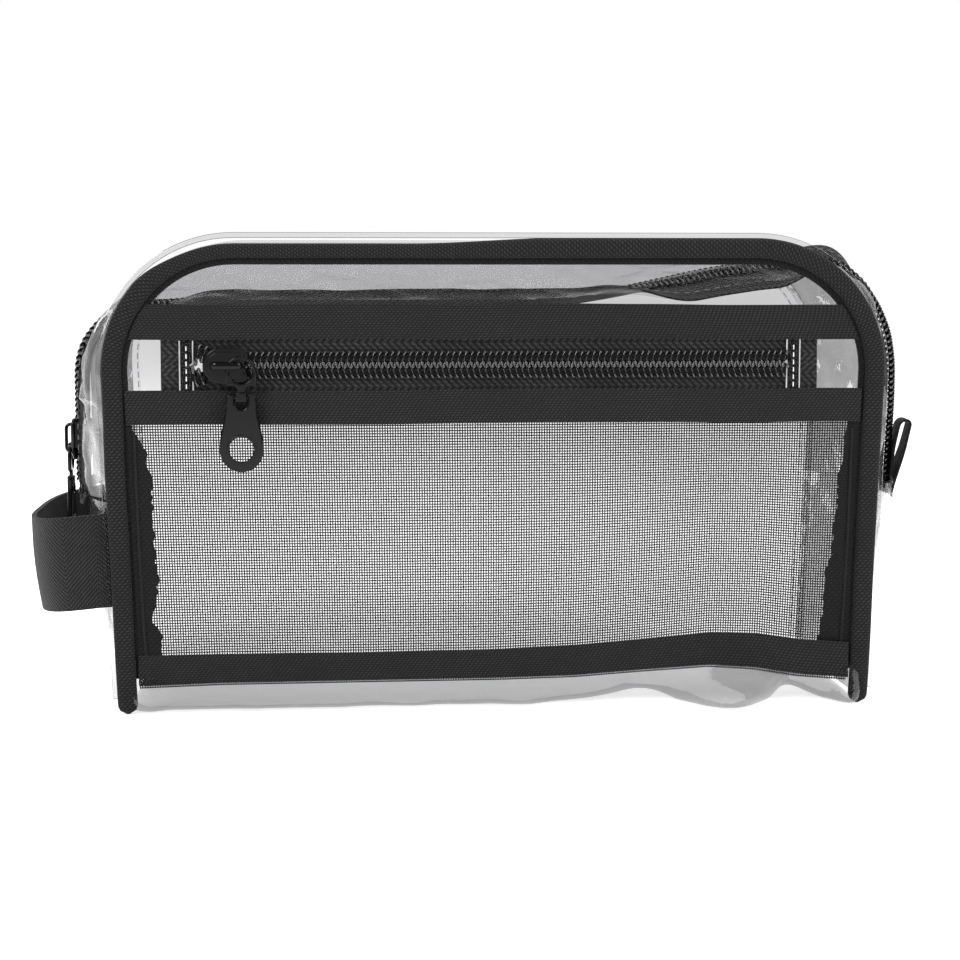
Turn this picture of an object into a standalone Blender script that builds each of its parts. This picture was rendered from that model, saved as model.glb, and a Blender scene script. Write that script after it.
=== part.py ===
"""A clear vinyl makeup bag with a zipped mesh pocket, a side handle and a grab loop.

The bag stands on the floor plane z = 0, its front facing -Y and its width along X.
The origin is on the floor, under the middle of the bag. Lengths are in metres.
"""

import math

import bmesh
import bpy
from mathutils import Matrix, Vector

# Overall size
WIDTH = 0.252  # across a panel at its widest
FOOT_TAPER = 0.010  # how much narrower a panel is at the floor
HEIGHT = 0.152
DEPTH = 0.100
CORNER = 0.042  # radius of a panel's upper corners
FOOT_CORNER = 0.008  # radius where the sheet turns under the bag
BULGE = 0.010  # how far the gusset's middle stands out past the panels
SAG = 0.010  # how far the main zip lies below the panels' top edge

# Sheet goods
GAP = 0.0003  # between pieces that lie on each other
VINYL = 0.0005
BINDING_WIDTH = 0.0070
BINDING_THICK = 0.0027
TAPE_THICK = 0.0006
MESH_THICK = 0.0004
BAND_THICK = 0.0007
POCKET_ROOM = 0.0045  # between the mesh and the vinyl behind it

# Front pocket, heights above the floor
HEM_LOW = 0.0095
HEM_HIGH = 0.0190
LOWER_BAND_LOW = 0.0934
BAND_WIDTH = 0.0105
UPPER_BAND_LOW = 0.1200
SIDE_HEM_WIDTH = 0.0085
POCKET_ZIP_LEFT = -0.0968
POCKET_ZIP_RIGHT = 0.0936
END_TAB_WIDTH = 0.0042
POCKET_SLIDER_X = -0.0865
FOLD_HEIGHT = 0.0680  # the front folds forward here, level with the main zip's ends

# Zips
COIL_WIDTH = 0.0033  # of one half of the chain
COIL_THICK = 0.0020
CHAIN_GAP = 0.0014  # between the two halves
MAIN_TAPE_WIDTH = 0.0110
TAPE_OVERLAP = 0.0050  # of a main tape on its gusset strip
CROSS_TAB_HEIGHT = 0.0060
CROSS_TAB_WIDTH = 0.0280
CROSS_TAB_THICK = 0.0008

# Slider, link and pull tab
SLIDER_LENGTH = 0.0150
SLIDER_WIDTH = 0.0115
PLATE_THICK = 0.0012
POST_THICK = 0.0007
LEG_SPACING = 0.0092
LEG_SIZE = 0.0016
CROWN_WIDTH = 0.0022
CROWN_THICK = 0.0011
LINK_OUTER = 0.0049
LINK_WIRE = 0.0010
LINK_THICK = 0.0013
LINK_DROP = 0.0018  # of the ring's centre below the leg that it hangs on
PIN_DROP = 0.0100  # of the pull tab's pin below that leg
PIN_RADIUS = 0.0006
PIN_PLAY = 0.0003
EYE_WIDTH = 0.0036
EYE_HEIGHT = 0.0030
EYE_THICK = 0.0026
TAB_TOP_WIDTH = 0.0097
TAB_WIDTH = 0.0138
TAB_LENGTH = 0.0248
TAB_THICK = 0.0018
TAB_TOP_RISE = 0.0011  # of the fork's tips above the pin
TAB_SLOT_DEPTH = 0.0049
TAB_HOLE_RADIUS = 0.0039
TAB_HOLE_DROP = 0.0165
MAIN_SLIDER_RISE = 0.0175  # of the main slider's middle above the zip's left end

# Handle and grab loop
HANDLE_WIDTH = 0.0300
HANDLE_THICK = 0.0017
HANDLE_HEIGHT = 0.0490  # of its middle above the floor
HANDLE_REACH = 0.0270  # out past the front seam
HANDLE_END = 0.0070  # length of a sewn end
HANDLE_PIVOT = 0.0052  # from the seam to the line that it tilts on
HANDLE_STRAIGHT = 0.0138  # from the seam to where the arch starts to bend
LOOP_WIDTH = 0.0110
LOOP_THICK = 0.0008
LOOP_LENGTH = 0.0230
LOOP_RADIUS = 0.0024
LOOP_LEAN = 0.25  # outward per unit of height

FOOT_WIDTH = WIDTH - FOOT_TAPER
PANEL_Y = DEPTH / 2 - BINDING_THICK - GAP  # the binding's back face lies on this plane
ZIP_HALF = WIDTH / 2 + BULGE
ZIP_TOP = HEIGHT - SAG
ZIP_END = FOLD_HEIGHT
CHAIN_HALF = CHAIN_GAP / 2 + COIL_WIDTH
TAPE_REACH = CHAIN_HALF + MAIN_TAPE_WIDTH  # from the zip's middle to a tape's outer edge
STRIP_REACH = TAPE_REACH - TAPE_OVERLAP  # and to a gusset strip's inner edge
SLIDER_TOP = GAP + COIL_THICK + GAP + PLATE_THICK  # above the tape's outer face
LINK_LIFT = SLIDER_TOP + GAP + LINK_THICK / 2
CROWN_LIFT = SLIDER_TOP + 2 * GAP + LINK_THICK
POCKET_CHAIN_Z = (UPPER_BAND_LOW + LOWER_BAND_LOW + BAND_WIDTH) / 2

SIDE_STEPS = 3
CORNER_STEPS = 8
TOP_STEPS = 6
SHARP_ANGLE = math.radians(35)


def material(name, colour, roughness, metallic=0.0, alpha=1.0):
    made = bpy.data.materials.new(name)
    made.use_nodes = True
    shader = made.node_tree.nodes["Principled BSDF"]
    shader.inputs["Base Color"].default_value = (*colour, 1.0)
    shader.inputs["Roughness"].default_value = roughness
    shader.inputs["Metallic"].default_value = metallic
    shader.inputs["Alpha"].default_value = alpha
    return made


def collection(name):
    made = bpy.data.collections.new(name)
    bpy.context.scene.collection.children.link(made)
    return made


def add_mesh(name, shape, look, place=Matrix.Identity(4)):
    """Puts a bmesh in the scene as an object and frees it."""
    mesh = bpy.data.meshes.new(name)
    shape.to_mesh(mesh)
    shape.free()
    mesh.shade_smooth()
    mesh.set_sharp_from_angle(angle=SHARP_ANGLE)
    made = bpy.data.objects.new(name, mesh)
    made.matrix_world = place
    made.data.materials.append(look)
    PARTS.objects.link(made)
    return made


def solidify(piece, thickness, offset):
    shell = piece.modifiers.new("Thickness", "SOLIDIFY")
    shell.thickness = thickness
    shell.offset = offset
    return shell


def sheet(name, rows, columns, point, thickness, offset, look):
    """A sheet of rows by columns squares whose corners are at point(row, column).

    Thickness is added on the side of the surface that offset, 1 or -1, says.
    """
    shape = bmesh.new()
    bmesh.ops.create_grid(shape, x_segments=rows, y_segments=columns, size=0.5)
    for vertex in shape.verts:
        row = round((vertex.co.x + 0.5) * rows)
        column = round((vertex.co.y + 0.5) * columns)
        vertex.co = point(row, column)
    made = add_mesh(name, shape, look)
    solidify(made, thickness, offset)
    return made


def mix(a, b, share):
    return a + (b - a) * share


def side(z, inset=0.0):
    """Half the width of a panel at height z, inset from its edge."""
    shoulder = HEIGHT - CORNER
    if z <= shoulder:
        return mix(FOOT_WIDTH, WIDTH, z / shoulder) / 2 - inset
    run = (CORNER - inset) ** 2 - (z - shoulder) ** 2
    return WIDTH / 2 - CORNER + math.sqrt(max(run, 0.0))


def arch(half_low, half, top, radius, low):
    """Points (x, z) from the left foot over the top to the right foot of an arch."""
    shoulder = top - radius
    left = [
        (-mix(half_low, half, i / SIDE_STEPS), mix(low, shoulder, i / SIDE_STEPS))
        for i in range(SIDE_STEPS)
    ]
    for i in range(CORNER_STEPS):
        turn = i / CORNER_STEPS * math.pi / 2
        left.append(
            (radius - half - radius * math.cos(turn), shoulder + radius * math.sin(turn))
        )
    flat = [
        (mix(radius - half, half - radius, i / TOP_STEPS), top)
        for i in range(TOP_STEPS + 1)
    ]
    right = [(-x, z) for x, z in reversed(left)]
    return left + flat + right


def seam_arch(low, inset=0.0):
    """The edge of a panel above height low."""
    return arch(side(low, inset), WIDTH / 2 - inset, HEIGHT - inset, CORNER - inset, low)


def zip_arch(low):
    """The line of the main zip above height low."""
    return arch(ZIP_HALF, ZIP_HALF, ZIP_TOP, CORNER, low)


ARCH_STEPS = 2 * SIDE_STEPS + 2 * CORNER_STEPS + TOP_STEPS


def gusset_strip(name, facing, look):
    """The vinyl between a panel's seam and its main zip tape. Facing is -1 at the front."""
    seam = seam_arch(ZIP_END + GAP)
    line = zip_arch(ZIP_END + GAP)

    def point(row, column):
        share = min(column / 4, 1.0)
        swell = math.sin(share * math.pi / 2)
        x = mix(seam[row][0], line[row][0], swell)
        z = mix(seam[row][1], line[row][1], swell)
        y = mix(PANEL_Y, TAPE_REACH, share) if column < 5 else STRIP_REACH
        return x, facing * y, z

    return sheet(name, ARCH_STEPS, 5, point, VINYL, facing, look)


def zip_band(name, facing, near, far, low, lift, thickness, look):
    """A flat band along the main zip, near to far from its middle, standing lift out."""
    half = ZIP_HALF + lift
    line = arch(half, half, ZIP_TOP + lift, CORNER + lift, low)

    def point(row, column):
        x, z = line[row]
        return x, facing * mix(near, far, column), z

    return sheet(name, ARCH_STEPS, 1, point, thickness, -facing, look)


def lower_gusset(name, facing, look):
    """The vinyl side below the end of the main zip. Facing is -1 on the left."""
    steps = 5

    def point(row, column):
        z = mix(0.0, ZIP_END - GAP, row / steps)
        y = mix(-PANEL_Y, PANEL_Y, column / 8)
        full = ZIP_HALF - side(ZIP_END)
        swell = full * math.sin(row / steps * math.pi / 2)
        x = side(z) + swell * (1 - (y / PANEL_Y) ** 4)
        return facing * x, y, z

    return sheet(name, steps, 8, point, VINYL, facing, look)


def clear_of_gusset(depth):
    """The inset of a panel whose far face is this deep behind the seam."""
    share = depth / (PANEL_Y - TAPE_REACH)
    return VINYL + 2 * GAP + SAG * math.sin(share * math.pi / 2)


def wrap_sheet(look):
    """The vinyl sheet from the back's top edge, down, under the bag and up to the fold."""
    inset = clear_of_gusset(2 * VINYL + GAP)
    back = PANEL_Y - VINYL - GAP
    front = POCKET_ROOM - PANEL_Y
    top = HEIGHT - inset
    shoulder = HEIGHT - CORNER
    heights = [mix(top, shoulder, 1 - math.cos(i / 8 * math.pi / 2)) for i in range(8)]
    heights += [mix(shoulder, FOOT_CORNER, i / 3) for i in range(3)]
    route = [(back, z) for z in heights]
    route += arc((back - FOOT_CORNER, FOOT_CORNER), FOOT_CORNER, 0, -90, 4)
    route += arc((front + FOOT_CORNER, FOOT_CORNER), FOOT_CORNER, 270, 180, 4)
    route += [(front, mix(FOOT_CORNER, FOLD_HEIGHT - GAP, i / 2)) for i in (1, 2)]

    def point(row, column):
        y, z = route[row]
        return side(z, inset) * (column / 4 - 1), y, z

    return sheet("vinyl_wrap_sheet", len(route) - 1, 8, point, VINYL, 1, look)


def front_panel(look):
    """The vinyl front above the fold, behind the pocket."""
    inset = clear_of_gusset(POCKET_ROOM + VINYL)
    rows = 10

    def point(row, column):
        z = mix(FOLD_HEIGHT + GAP, HEIGHT - inset, math.sin(row / rows * math.pi / 2))
        return side(z, inset) * (column / 4 - 1), POCKET_ROOM - PANEL_Y, z

    return sheet("front_panel_upper", rows, 8, point, VINYL, 1, look)


def round_edges(piece, width):
    bevel = piece.modifiers.new("Rounded edges", "BEVEL")
    bevel.width = width
    bevel.segments = 2
    bevel.limit_method = "ANGLE"


def binding(name, facing, low, look):
    """The binding or welt over a panel's edge, above height low."""
    outer = seam_arch(low)
    inner = seam_arch(low, BINDING_WIDTH)

    def point(row, column):
        x, z = (outer, inner)[column][row]
        return x, facing * (PANEL_Y + GAP), z

    made = sheet(name, ARCH_STEPS, 1, point, BINDING_THICK, facing, look)
    round_edges(made, BINDING_THICK / 3)
    return made


def binding_foot(name, hand, look):
    """The front binding below the fold, on the side that hand says."""

    def point(row, column):
        z = mix(0.0, FOLD_HEIGHT - GAP, row / 2)
        x = side(z) - column * BINDING_WIDTH
        return hand * x, -PANEL_Y - GAP, z

    made = sheet(name, 2, 1, point, BINDING_THICK, hand, look)
    round_edges(made, BINDING_THICK / 3)
    return made


def pocket_edge(z):
    """Half the width of the pocket at height z, inside the binding."""
    return side(z, BINDING_WIDTH + GAP)


def pocket_strip(name, low, high, lift, thickness, look, left=None, right=None):
    """A flat piece on the front from height low to high, lift in front of the panel plane.

    It reaches to the binding, or to left and right where they are given.
    """

    def point(row, column):
        z = mix(low, high, column / 2)
        start = -pocket_edge(z) if left is None else left
        end = pocket_edge(z) if right is None else right
        return mix(start, end, row / 2), -PANEL_Y - lift, z

    return sheet(name, 2, 2, point, thickness, 1, look)


def side_hem(name, hand, low, high, look):
    """The doubled edge of the mesh beside the binding."""

    def point(row, column):
        z = mix(low, high, row / 2)
        x = pocket_edge(z) - column * SIDE_HEM_WIDTH
        return hand * x, -PANEL_Y - MESH_THICK - GAP, z

    return sheet(name, 2, 1, point, MESH_THICK, hand, look)


def outline_object(name, outlines, thickness):
    """A mesh made from flat closed outlines, inner ones being holes, of this thickness."""
    curve = bpy.data.curves.new(name, "CURVE")
    curve.dimensions = "2D"
    curve.fill_mode = "BOTH"
    curve.extrude = thickness / 2
    for outline in outlines:
        spline = curve.splines.new("POLY")
        spline.points.add(len(outline) - 1)
        for point, (x, y) in zip(spline.points, outline):
            point.co = (x, y, 0.0, 1.0)
        spline.use_cyclic_u = True
    guide = bpy.data.objects.new(name, curve)
    PARTS.objects.link(guide)
    bpy.context.view_layer.update()
    graph = bpy.context.evaluated_depsgraph_get()
    mesh = bpy.data.meshes.new_from_object(guide.evaluated_get(graph))
    bpy.data.objects.remove(guide)
    shape = bmesh.new()
    shape.from_mesh(mesh)
    bmesh.ops.remove_doubles(shape, verts=shape.verts, dist=1e-6)
    bmesh.ops.recalc_face_normals(shape, faces=shape.faces)
    return shape


def box(size, centre):
    shape = bmesh.new()
    scale = Matrix.Diagonal((*size, 1.0))
    bmesh.ops.create_cube(shape, size=1.0, matrix=Matrix.Translation(centre) @ scale)
    return shape


def rod(radius, length, axis, centre, sides=12):
    shape = bmesh.new()
    turn = Vector((0, 0, 1)).rotation_difference(Vector(axis)).to_matrix().to_4x4()
    bmesh.ops.create_cone(
        shape,
        cap_ends=True,
        segments=sides,
        radius1=radius,
        radius2=radius,
        depth=length,
        matrix=Matrix.Translation(centre) @ turn,
    )
    return shape


def combine(piece, shape, operation):
    """Joins a bmesh to a piece, or cuts it away, with a Boolean modifier."""
    name = f"{piece.name}_{operation.lower()}_{len(piece.modifiers)}"
    helper = add_mesh(name, shape, piece.data.materials[0], piece.matrix_world)
    PARTS.objects.unlink(helper)
    CUTTERS.objects.link(helper)
    helper.hide_render = True
    helper.display_type = "WIRE"
    step = piece.modifiers.new(operation.title(), "BOOLEAN")
    step.operation = operation
    step.object = helper


def arc(centre, radius, start, end, steps):
    """Points of a circular arc, angles in degrees."""
    turns = (math.radians(mix(start, end, i / steps)) for i in range(steps + 1))
    return [
        (centre[0] + radius * math.cos(turn), centre[1] + radius * math.sin(turn))
        for turn in turns
    ]


def slider_plan(inset):
    """The slider seen from outside: a round nose at -X and two shoulders at +X."""
    half = SLIDER_WIDTH / 2 - inset
    nose = arc((half - SLIDER_LENGTH / 2 + inset, 0.0), half, 90, 270, 10)
    tail = SLIDER_LENGTH / 2 - inset
    notch = SLIDER_WIDTH / 5
    shoulder = half * 0.8
    return nose + [
        (tail * 0.6, -half),
        (tail, -shoulder),
        (tail, -notch),
        (tail - notch / 2, 0.0),
        (tail, notch),
        (tail, shoulder),
        (tail * 0.6, half),
    ]


def crown_outline():
    """The crown seen along the pull's axis: two legs and the bridge over the link."""
    outer = LEG_SPACING / 2 + LEG_SIZE / 2
    inner = LEG_SPACING / 2 - LEG_SIZE / 2
    foot = SLIDER_TOP - PLATE_THICK / 2
    top = CROWN_LIFT + CROWN_THICK
    ease = CROWN_THICK * 0.7
    return [
        (-outer, foot),
        (-inner, foot),
        (-inner, CROWN_LIFT),
        (inner, CROWN_LIFT),
        (inner, foot),
        (outer, foot),
        (outer, top - ease),
        (outer - ease, top),
        (ease - outer, top),
        (-outer, top - ease),
    ]


def slider(name, place, look):
    """A slider on its chain: X along the chain, Z out from the tape's outer face."""
    top = outline_object(name, [slider_plan(0.0)], PLATE_THICK)
    bmesh.ops.translate(top, verts=top.verts, vec=(0, 0, SLIDER_TOP - PLATE_THICK / 2))
    made = add_mesh(name, top, look, place)
    under = -TAPE_THICK - GAP
    bottom = outline_object(name, [slider_plan(GAP)], PLATE_THICK)
    bmesh.ops.translate(bottom, verts=bottom.verts, vec=(0, 0, under - PLATE_THICK / 2))
    combine(made, bottom, "UNION")
    middle = (SLIDER_TOP + under - PLATE_THICK) / 2
    post = box((SLIDER_LENGTH / 3, POST_THICK, SLIDER_TOP - under), (0, 0, middle))
    combine(made, post, "UNION")
    crown = outline_object(name, [crown_outline()], CROWN_WIDTH)
    bmesh.ops.rotate(crown, verts=crown.verts, matrix=Matrix.Rotation(math.pi / 2, 3, "X"))
    combine(made, crown, "UNION")
    return made


def link(name, place, look):
    """The ring that hangs on a crown's leg, with the eye that holds the tab's pin.

    Its origin is on the leg's axis, -Y hangs down and Z points out.
    """
    middle = (0.0, -LINK_DROP)
    ring = outline_object(
        name,
        [
            arc(middle, LINK_OUTER, 0, 360 - 360 / 28, 27),
            arc(middle, LINK_OUTER - LINK_WIRE, 0, 360 - 360 / 28, 27),
        ],
        LINK_THICK,
    )
    made = add_mesh(name, ring, look, place)
    edge = -LINK_DROP - LINK_OUTER + LINK_WIRE / 2
    neck = edge + PIN_DROP
    combine(made, box((EYE_WIDTH * 0.7, neck, LINK_THICK * 0.9), (0, edge - neck / 2, 0)), "UNION")
    combine(made, box((EYE_WIDTH, EYE_HEIGHT, EYE_THICK), (0, -PIN_DROP, 0)), "UNION")
    bore = rod(PIN_RADIUS + PIN_PLAY, EYE_WIDTH * 2, (1, 0, 0), (0, -PIN_DROP, 0))
    combine(made, bore, "DIFFERENCE")
    return made


def tab_outline():
    """The pull tab round its pin: a fork at the top, widening to a round end."""
    top = TAB_TOP_RISE
    slot = EYE_WIDTH / 2 + GAP
    half = TAB_WIDTH / 2
    belly = top - TAB_LENGTH + half
    neck = TAB_TOP_WIDTH / 2
    return [
        (-neck, top),
        *arc((0.0, belly), half, 180, 360, 18),
        (neck, top),
        (slot, top),
        (slot, top - TAB_SLOT_DEPTH),
        (-slot, top - TAB_SLOT_DEPTH),
        (-slot, top),
    ]


def pull_tab(name, place, look):
    """A pull tab with its pin. Its origin is on the pin, -Y hangs down, Z points out."""
    hole = arc((0.0, -TAB_HOLE_DROP), TAB_HOLE_RADIUS, 0, 360 - 360 / 24, 23)
    made = add_mesh(name, outline_object(name, [tab_outline(), hole], TAB_THICK), look, place)
    pin = rod(PIN_RADIUS, TAB_TOP_WIDTH - 4 * GAP, (1, 0, 0), (0, 0, 0))
    combine(made, pin, "UNION")
    return made


def slider_set(prefix, on_tape, leg, hang, look):
    """Slider, link and tab. Leg is -1 for the nose's leg and 1 for the tail's, and hang
    turns the link about it."""
    slider(f"{prefix}_slider", on_tape, look)
    at_leg = Matrix.Translation((leg * LEG_SPACING / 2, 0, LINK_LIFT))
    hung = on_tape @ at_leg @ Matrix.Rotation(hang, 4, "Z")
    link(f"{prefix}_link", hung, look)
    pull_tab(f"{prefix}_pull_tab", hung @ Matrix.Translation((0, -PIN_DROP, 0)), look)


def handle_seam():
    """Where the handle's sewn ends start, out past the seam at the handle's height."""
    return side(HANDLE_HEIGHT) + 2 * GAP


def handle_end(name, facing, look):
    """A sewn end of the handle at the front seam, facing -1, or the back one."""
    x = handle_seam() + HANDLE_PIVOT / 2
    size = (HANDLE_END, HANDLE_THICK, HANDLE_WIDTH)
    y = PANEL_Y - HANDLE_THICK / 2 - GAP
    shape = box(size, (-x - HANDLE_END / 2, facing * y, HANDLE_HEIGHT))
    return add_mesh(name, shape, look)


def handle_loop(look):
    """The webbing arch beside the left gusset, from the front seam to the back seam."""
    start = handle_seam() + HANDLE_PIVOT
    clear = handle_seam() + HANDLE_STRAIGHT
    far = side(HANDLE_HEIGHT) + HANDLE_REACH
    wide = PANEL_Y + HANDLE_THICK
    bend = 16
    route = [(start, wide)]
    for i in range(bend + 1):
        turn = i / bend * math.pi
        flat = math.copysign(abs(math.cos(turn)) ** 0.8, math.cos(turn))
        route.append((clear + (far - clear) * math.sin(turn) ** 0.8, wide * flat))
    route.append((start, -wide))

    def point(row, column):
        x, y = route[row]
        z = HANDLE_HEIGHT + HANDLE_WIDTH * (column - 0.5)
        return -x, y, z

    return sheet("side_handle", len(route) - 1, 1, point, HANDLE_THICK, -1, look)


def grab_loop(base, look):
    """The folded ribbon that stands up at the right end of the main zip."""
    top = LOOP_LENGTH - LOOP_RADIUS
    legs = [(mix(LOOP_RADIUS / 2, LOOP_RADIUS, i / 3), mix(0.0, top, i / 3)) for i in range(3)]
    bend = arc((0.0, top), LOOP_RADIUS, 0, 180, 8)
    route = legs + bend + [(-x, z) for x, z in reversed(legs)]

    def point(row, column):
        x, z = route[row]
        return base[0] + x + LOOP_LEAN * z, LOOP_WIDTH * (column - 0.5), base[1] + z

    return sheet("grab_loop", len(route) - 1, 1, point, LOOP_THICK, 1, look)


def cross_tab(name, hand, look):
    """The folded vinyl tab over an end of the main zip."""
    x = ZIP_HALF + TAPE_THICK + 2 * GAP + CROSS_TAB_THICK / 2
    size = (CROSS_TAB_THICK, CROSS_TAB_WIDTH, CROSS_TAB_HEIGHT)
    return add_mesh(name, box(size, (hand * x, 0, ZIP_END)), look)


def make_shell(clear, binding_cloth, tape, coil):
    """The vinyl walls, the main zip and the bindings."""
    wrap_sheet(clear)
    front_panel(clear)
    coil_low = ZIP_END + CROSS_TAB_HEIGHT / 2 + GAP
    tape_low = ZIP_END + GAP
    for word, facing in (("front", -1), ("back", 1)):
        gusset_strip(f"gusset_strip_{word}", facing, clear)
        zip_band(f"main_zip_tape_{word}", facing, CHAIN_GAP / 2, TAPE_REACH,
                 tape_low, GAP + TAPE_THICK, TAPE_THICK, tape)
        zip_band(f"main_zip_coil_{word}", facing, CHAIN_GAP / 2, CHAIN_HALF,
                 coil_low, 2 * GAP + TAPE_THICK + COIL_THICK, COIL_THICK, coil)
    for word, hand in (("left", -1), ("right", 1)):
        lower_gusset(f"lower_gusset_{word}", hand, clear)
        cross_tab(f"main_zip_end_tab_{word}", hand, clear)
        binding_foot(f"front_binding_foot_{word}", hand, binding_cloth)
    binding("front_binding", -1, FOLD_HEIGHT + GAP, binding_cloth)
    binding("back_seam_welt", 1, 0.0, clear)


def make_pocket(clear, band, tape, coil, mesh):
    """The mesh pocket and its zip on the front."""
    raised = TAPE_THICK + GAP
    pocket_strip("pocket_band_lower", LOWER_BAND_LOW, LOWER_BAND_LOW + BAND_WIDTH,
                 raised, BAND_THICK, band)
    pocket_strip("pocket_band_upper", UPPER_BAND_LOW, UPPER_BAND_LOW + BAND_WIDTH,
                 raised, BAND_THICK, band)
    pocket_strip("pocket_hem_band", HEM_LOW, HEM_HIGH, 2 * (MESH_THICK + GAP), BAND_THICK, band)
    pocket_strip("pocket_mesh_lower", HEM_LOW, FOLD_HEIGHT - GAP, 0.0, MESH_THICK, mesh)
    pocket_strip("pocket_mesh_upper", FOLD_HEIGHT + GAP, LOWER_BAND_LOW + BAND_WIDTH / 2 - GAP,
                 0.0, MESH_THICK, mesh)
    for word, hand in (("left", -1), ("right", 1)):
        side_hem(f"pocket_side_hem_lower_{word}", hand, HEM_LOW, FOLD_HEIGHT - GAP, mesh)
        side_hem(f"pocket_side_hem_upper_{word}", hand, FOLD_HEIGHT + GAP,
                 LOWER_BAND_LOW - GAP, mesh)
    ends = {"left": POCKET_ZIP_LEFT, "right": POCKET_ZIP_RIGHT}
    middle = POCKET_CHAIN_Z
    halves = (
        ("lower", -1, LOWER_BAND_LOW + BAND_WIDTH / 2),
        ("upper", 1, UPPER_BAND_LOW + BAND_WIDTH / 2),
    )
    for word, up, far in halves:
        near = middle + up * CHAIN_GAP / 2
        low, high = sorted((near, far))
        pocket_strip(f"pocket_zip_tape_{word}", low, high, 0.0, TAPE_THICK, tape, **ends)
        low, high = sorted((near, middle + up * CHAIN_HALF))
        pocket_strip(f"pocket_zip_coil_{word}", low, high, raised, COIL_THICK, coil, **ends)
    low = LOWER_BAND_LOW + BAND_WIDTH + GAP
    high = UPPER_BAND_LOW - GAP
    pocket_strip("pocket_zip_end_tab_left", low, high, raised, VINYL, clear,
                 POCKET_ZIP_LEFT - GAP - END_TAB_WIDTH, POCKET_ZIP_LEFT - GAP)
    pocket_strip("pocket_zip_end_tab_right", low, high, raised, VINYL, clear,
                 POCKET_ZIP_RIGHT + GAP, POCKET_ZIP_RIGHT + GAP + END_TAB_WIDTH)


def make_hardware(metal):
    """Both sliders with their links and pull tabs."""
    out_front = Matrix.Rotation(math.pi / 2, 4, "X")
    face = -PANEL_Y - TAPE_THICK
    on_pocket = Matrix.Translation((POCKET_SLIDER_X, face, POCKET_CHAIN_Z)) @ out_front
    slider_set("pocket", on_pocket, 1, 0.0, metal)
    face = -ZIP_HALF - GAP - TAPE_THICK
    rise = ZIP_END + MAIN_SLIDER_RISE
    out_left = Matrix(((0, 0, -1, face), (0, 1, 0, 0), (1, 0, 0, rise), (0, 0, 0, 1)))
    slider_set("main", out_left, -1, -math.pi / 2, metal)


def make_straps(webbing, ribbon):
    """The side handle and the grab loop."""
    handle_end("handle_end_front", -1, webbing)
    handle_end("handle_end_back", 1, webbing)
    handle_loop(webbing)
    clear = ZIP_HALF + TAPE_THICK + 3 * GAP + CROSS_TAB_THICK + LOOP_RADIUS / 2
    grab_loop((clear, ZIP_END - CROSS_TAB_HEIGHT / 2), ribbon)


def hang(axis_name, place, names):
    """Parents moving pieces to an empty on the axis that they turn about."""
    axis = bpy.data.objects.new(axis_name, None)
    axis.matrix_world = Matrix.Translation(place)
    PARTS.objects.link(axis)
    for name in names:
        piece = bpy.data.objects[name]
        piece.parent = axis
        piece.matrix_parent_inverse = Matrix.Translation(place).inverted()


def hang_moving_pieces():
    front = ["front_panel_upper", "gusset_strip_front", "front_binding"]
    front += ["main_zip_tape_front", "main_zip_coil_front", "pocket_mesh_upper"]
    for word in ("lower", "upper"):
        front += [f"pocket_band_{word}", f"pocket_zip_tape_{word}", f"pocket_zip_coil_{word}"]
    for word in ("left", "right"):
        front += [f"pocket_zip_end_tab_{word}", f"pocket_side_hem_upper_{word}"]
    hang("mouth_fold_axis", (0, -PANEL_Y - BINDING_THICK - GAP, FOLD_HEIGHT), front)
    seam = handle_seam() + HANDLE_PIVOT
    hang("handle_tilt_axis", (-seam, 0, HANDLE_HEIGHT), ["side_handle"])
    base = (ZIP_HALF + BINDING_THICK, 0, ZIP_END - CROSS_TAB_HEIGHT / 2)
    hang("grab_loop_axis", base, ["grab_loop"])


def make_bag():
    clear = material("clear_vinyl", (0.93, 0.94, 0.95), 0.06, alpha=0.25)
    binding_cloth = material("black_binding", (0.018, 0.018, 0.019), 0.75)
    band = material("black_band", (0.020, 0.020, 0.021), 0.80)
    tape = material("black_zip_tape", (0.016, 0.016, 0.017), 0.85)
    coil = material("black_coil", (0.015, 0.015, 0.016), 0.40)
    mesh = material("black_mesh", (0.022, 0.022, 0.023), 0.70, alpha=0.45)
    metal = material("black_enamel", (0.012, 0.012, 0.013), 0.28)
    webbing = material("black_webbing", (0.018, 0.018, 0.019), 0.60)
    make_shell(clear, binding_cloth, tape, coil)
    make_pocket(clear, band, tape, coil, mesh)
    make_hardware(metal)
    make_straps(webbing, band)
    hang_moving_pieces()


for leftover in list(bpy.data.objects):
    bpy.data.objects.remove(leftover)
PARTS = collection("makeup_bag")
CUTTERS = collection("makeup_bag_cutters")
make_bag()
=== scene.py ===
"""The looks of the clear vinyl makeup bag: soft vinyl, woven trims, real coils and mesh threads.

Lengths are in metres in the row frame: the front faces -Y, the width runs along X, the floor is z = 0.
"""

import math

import bpy
import numpy as np
from mathutils import Matrix


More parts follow.
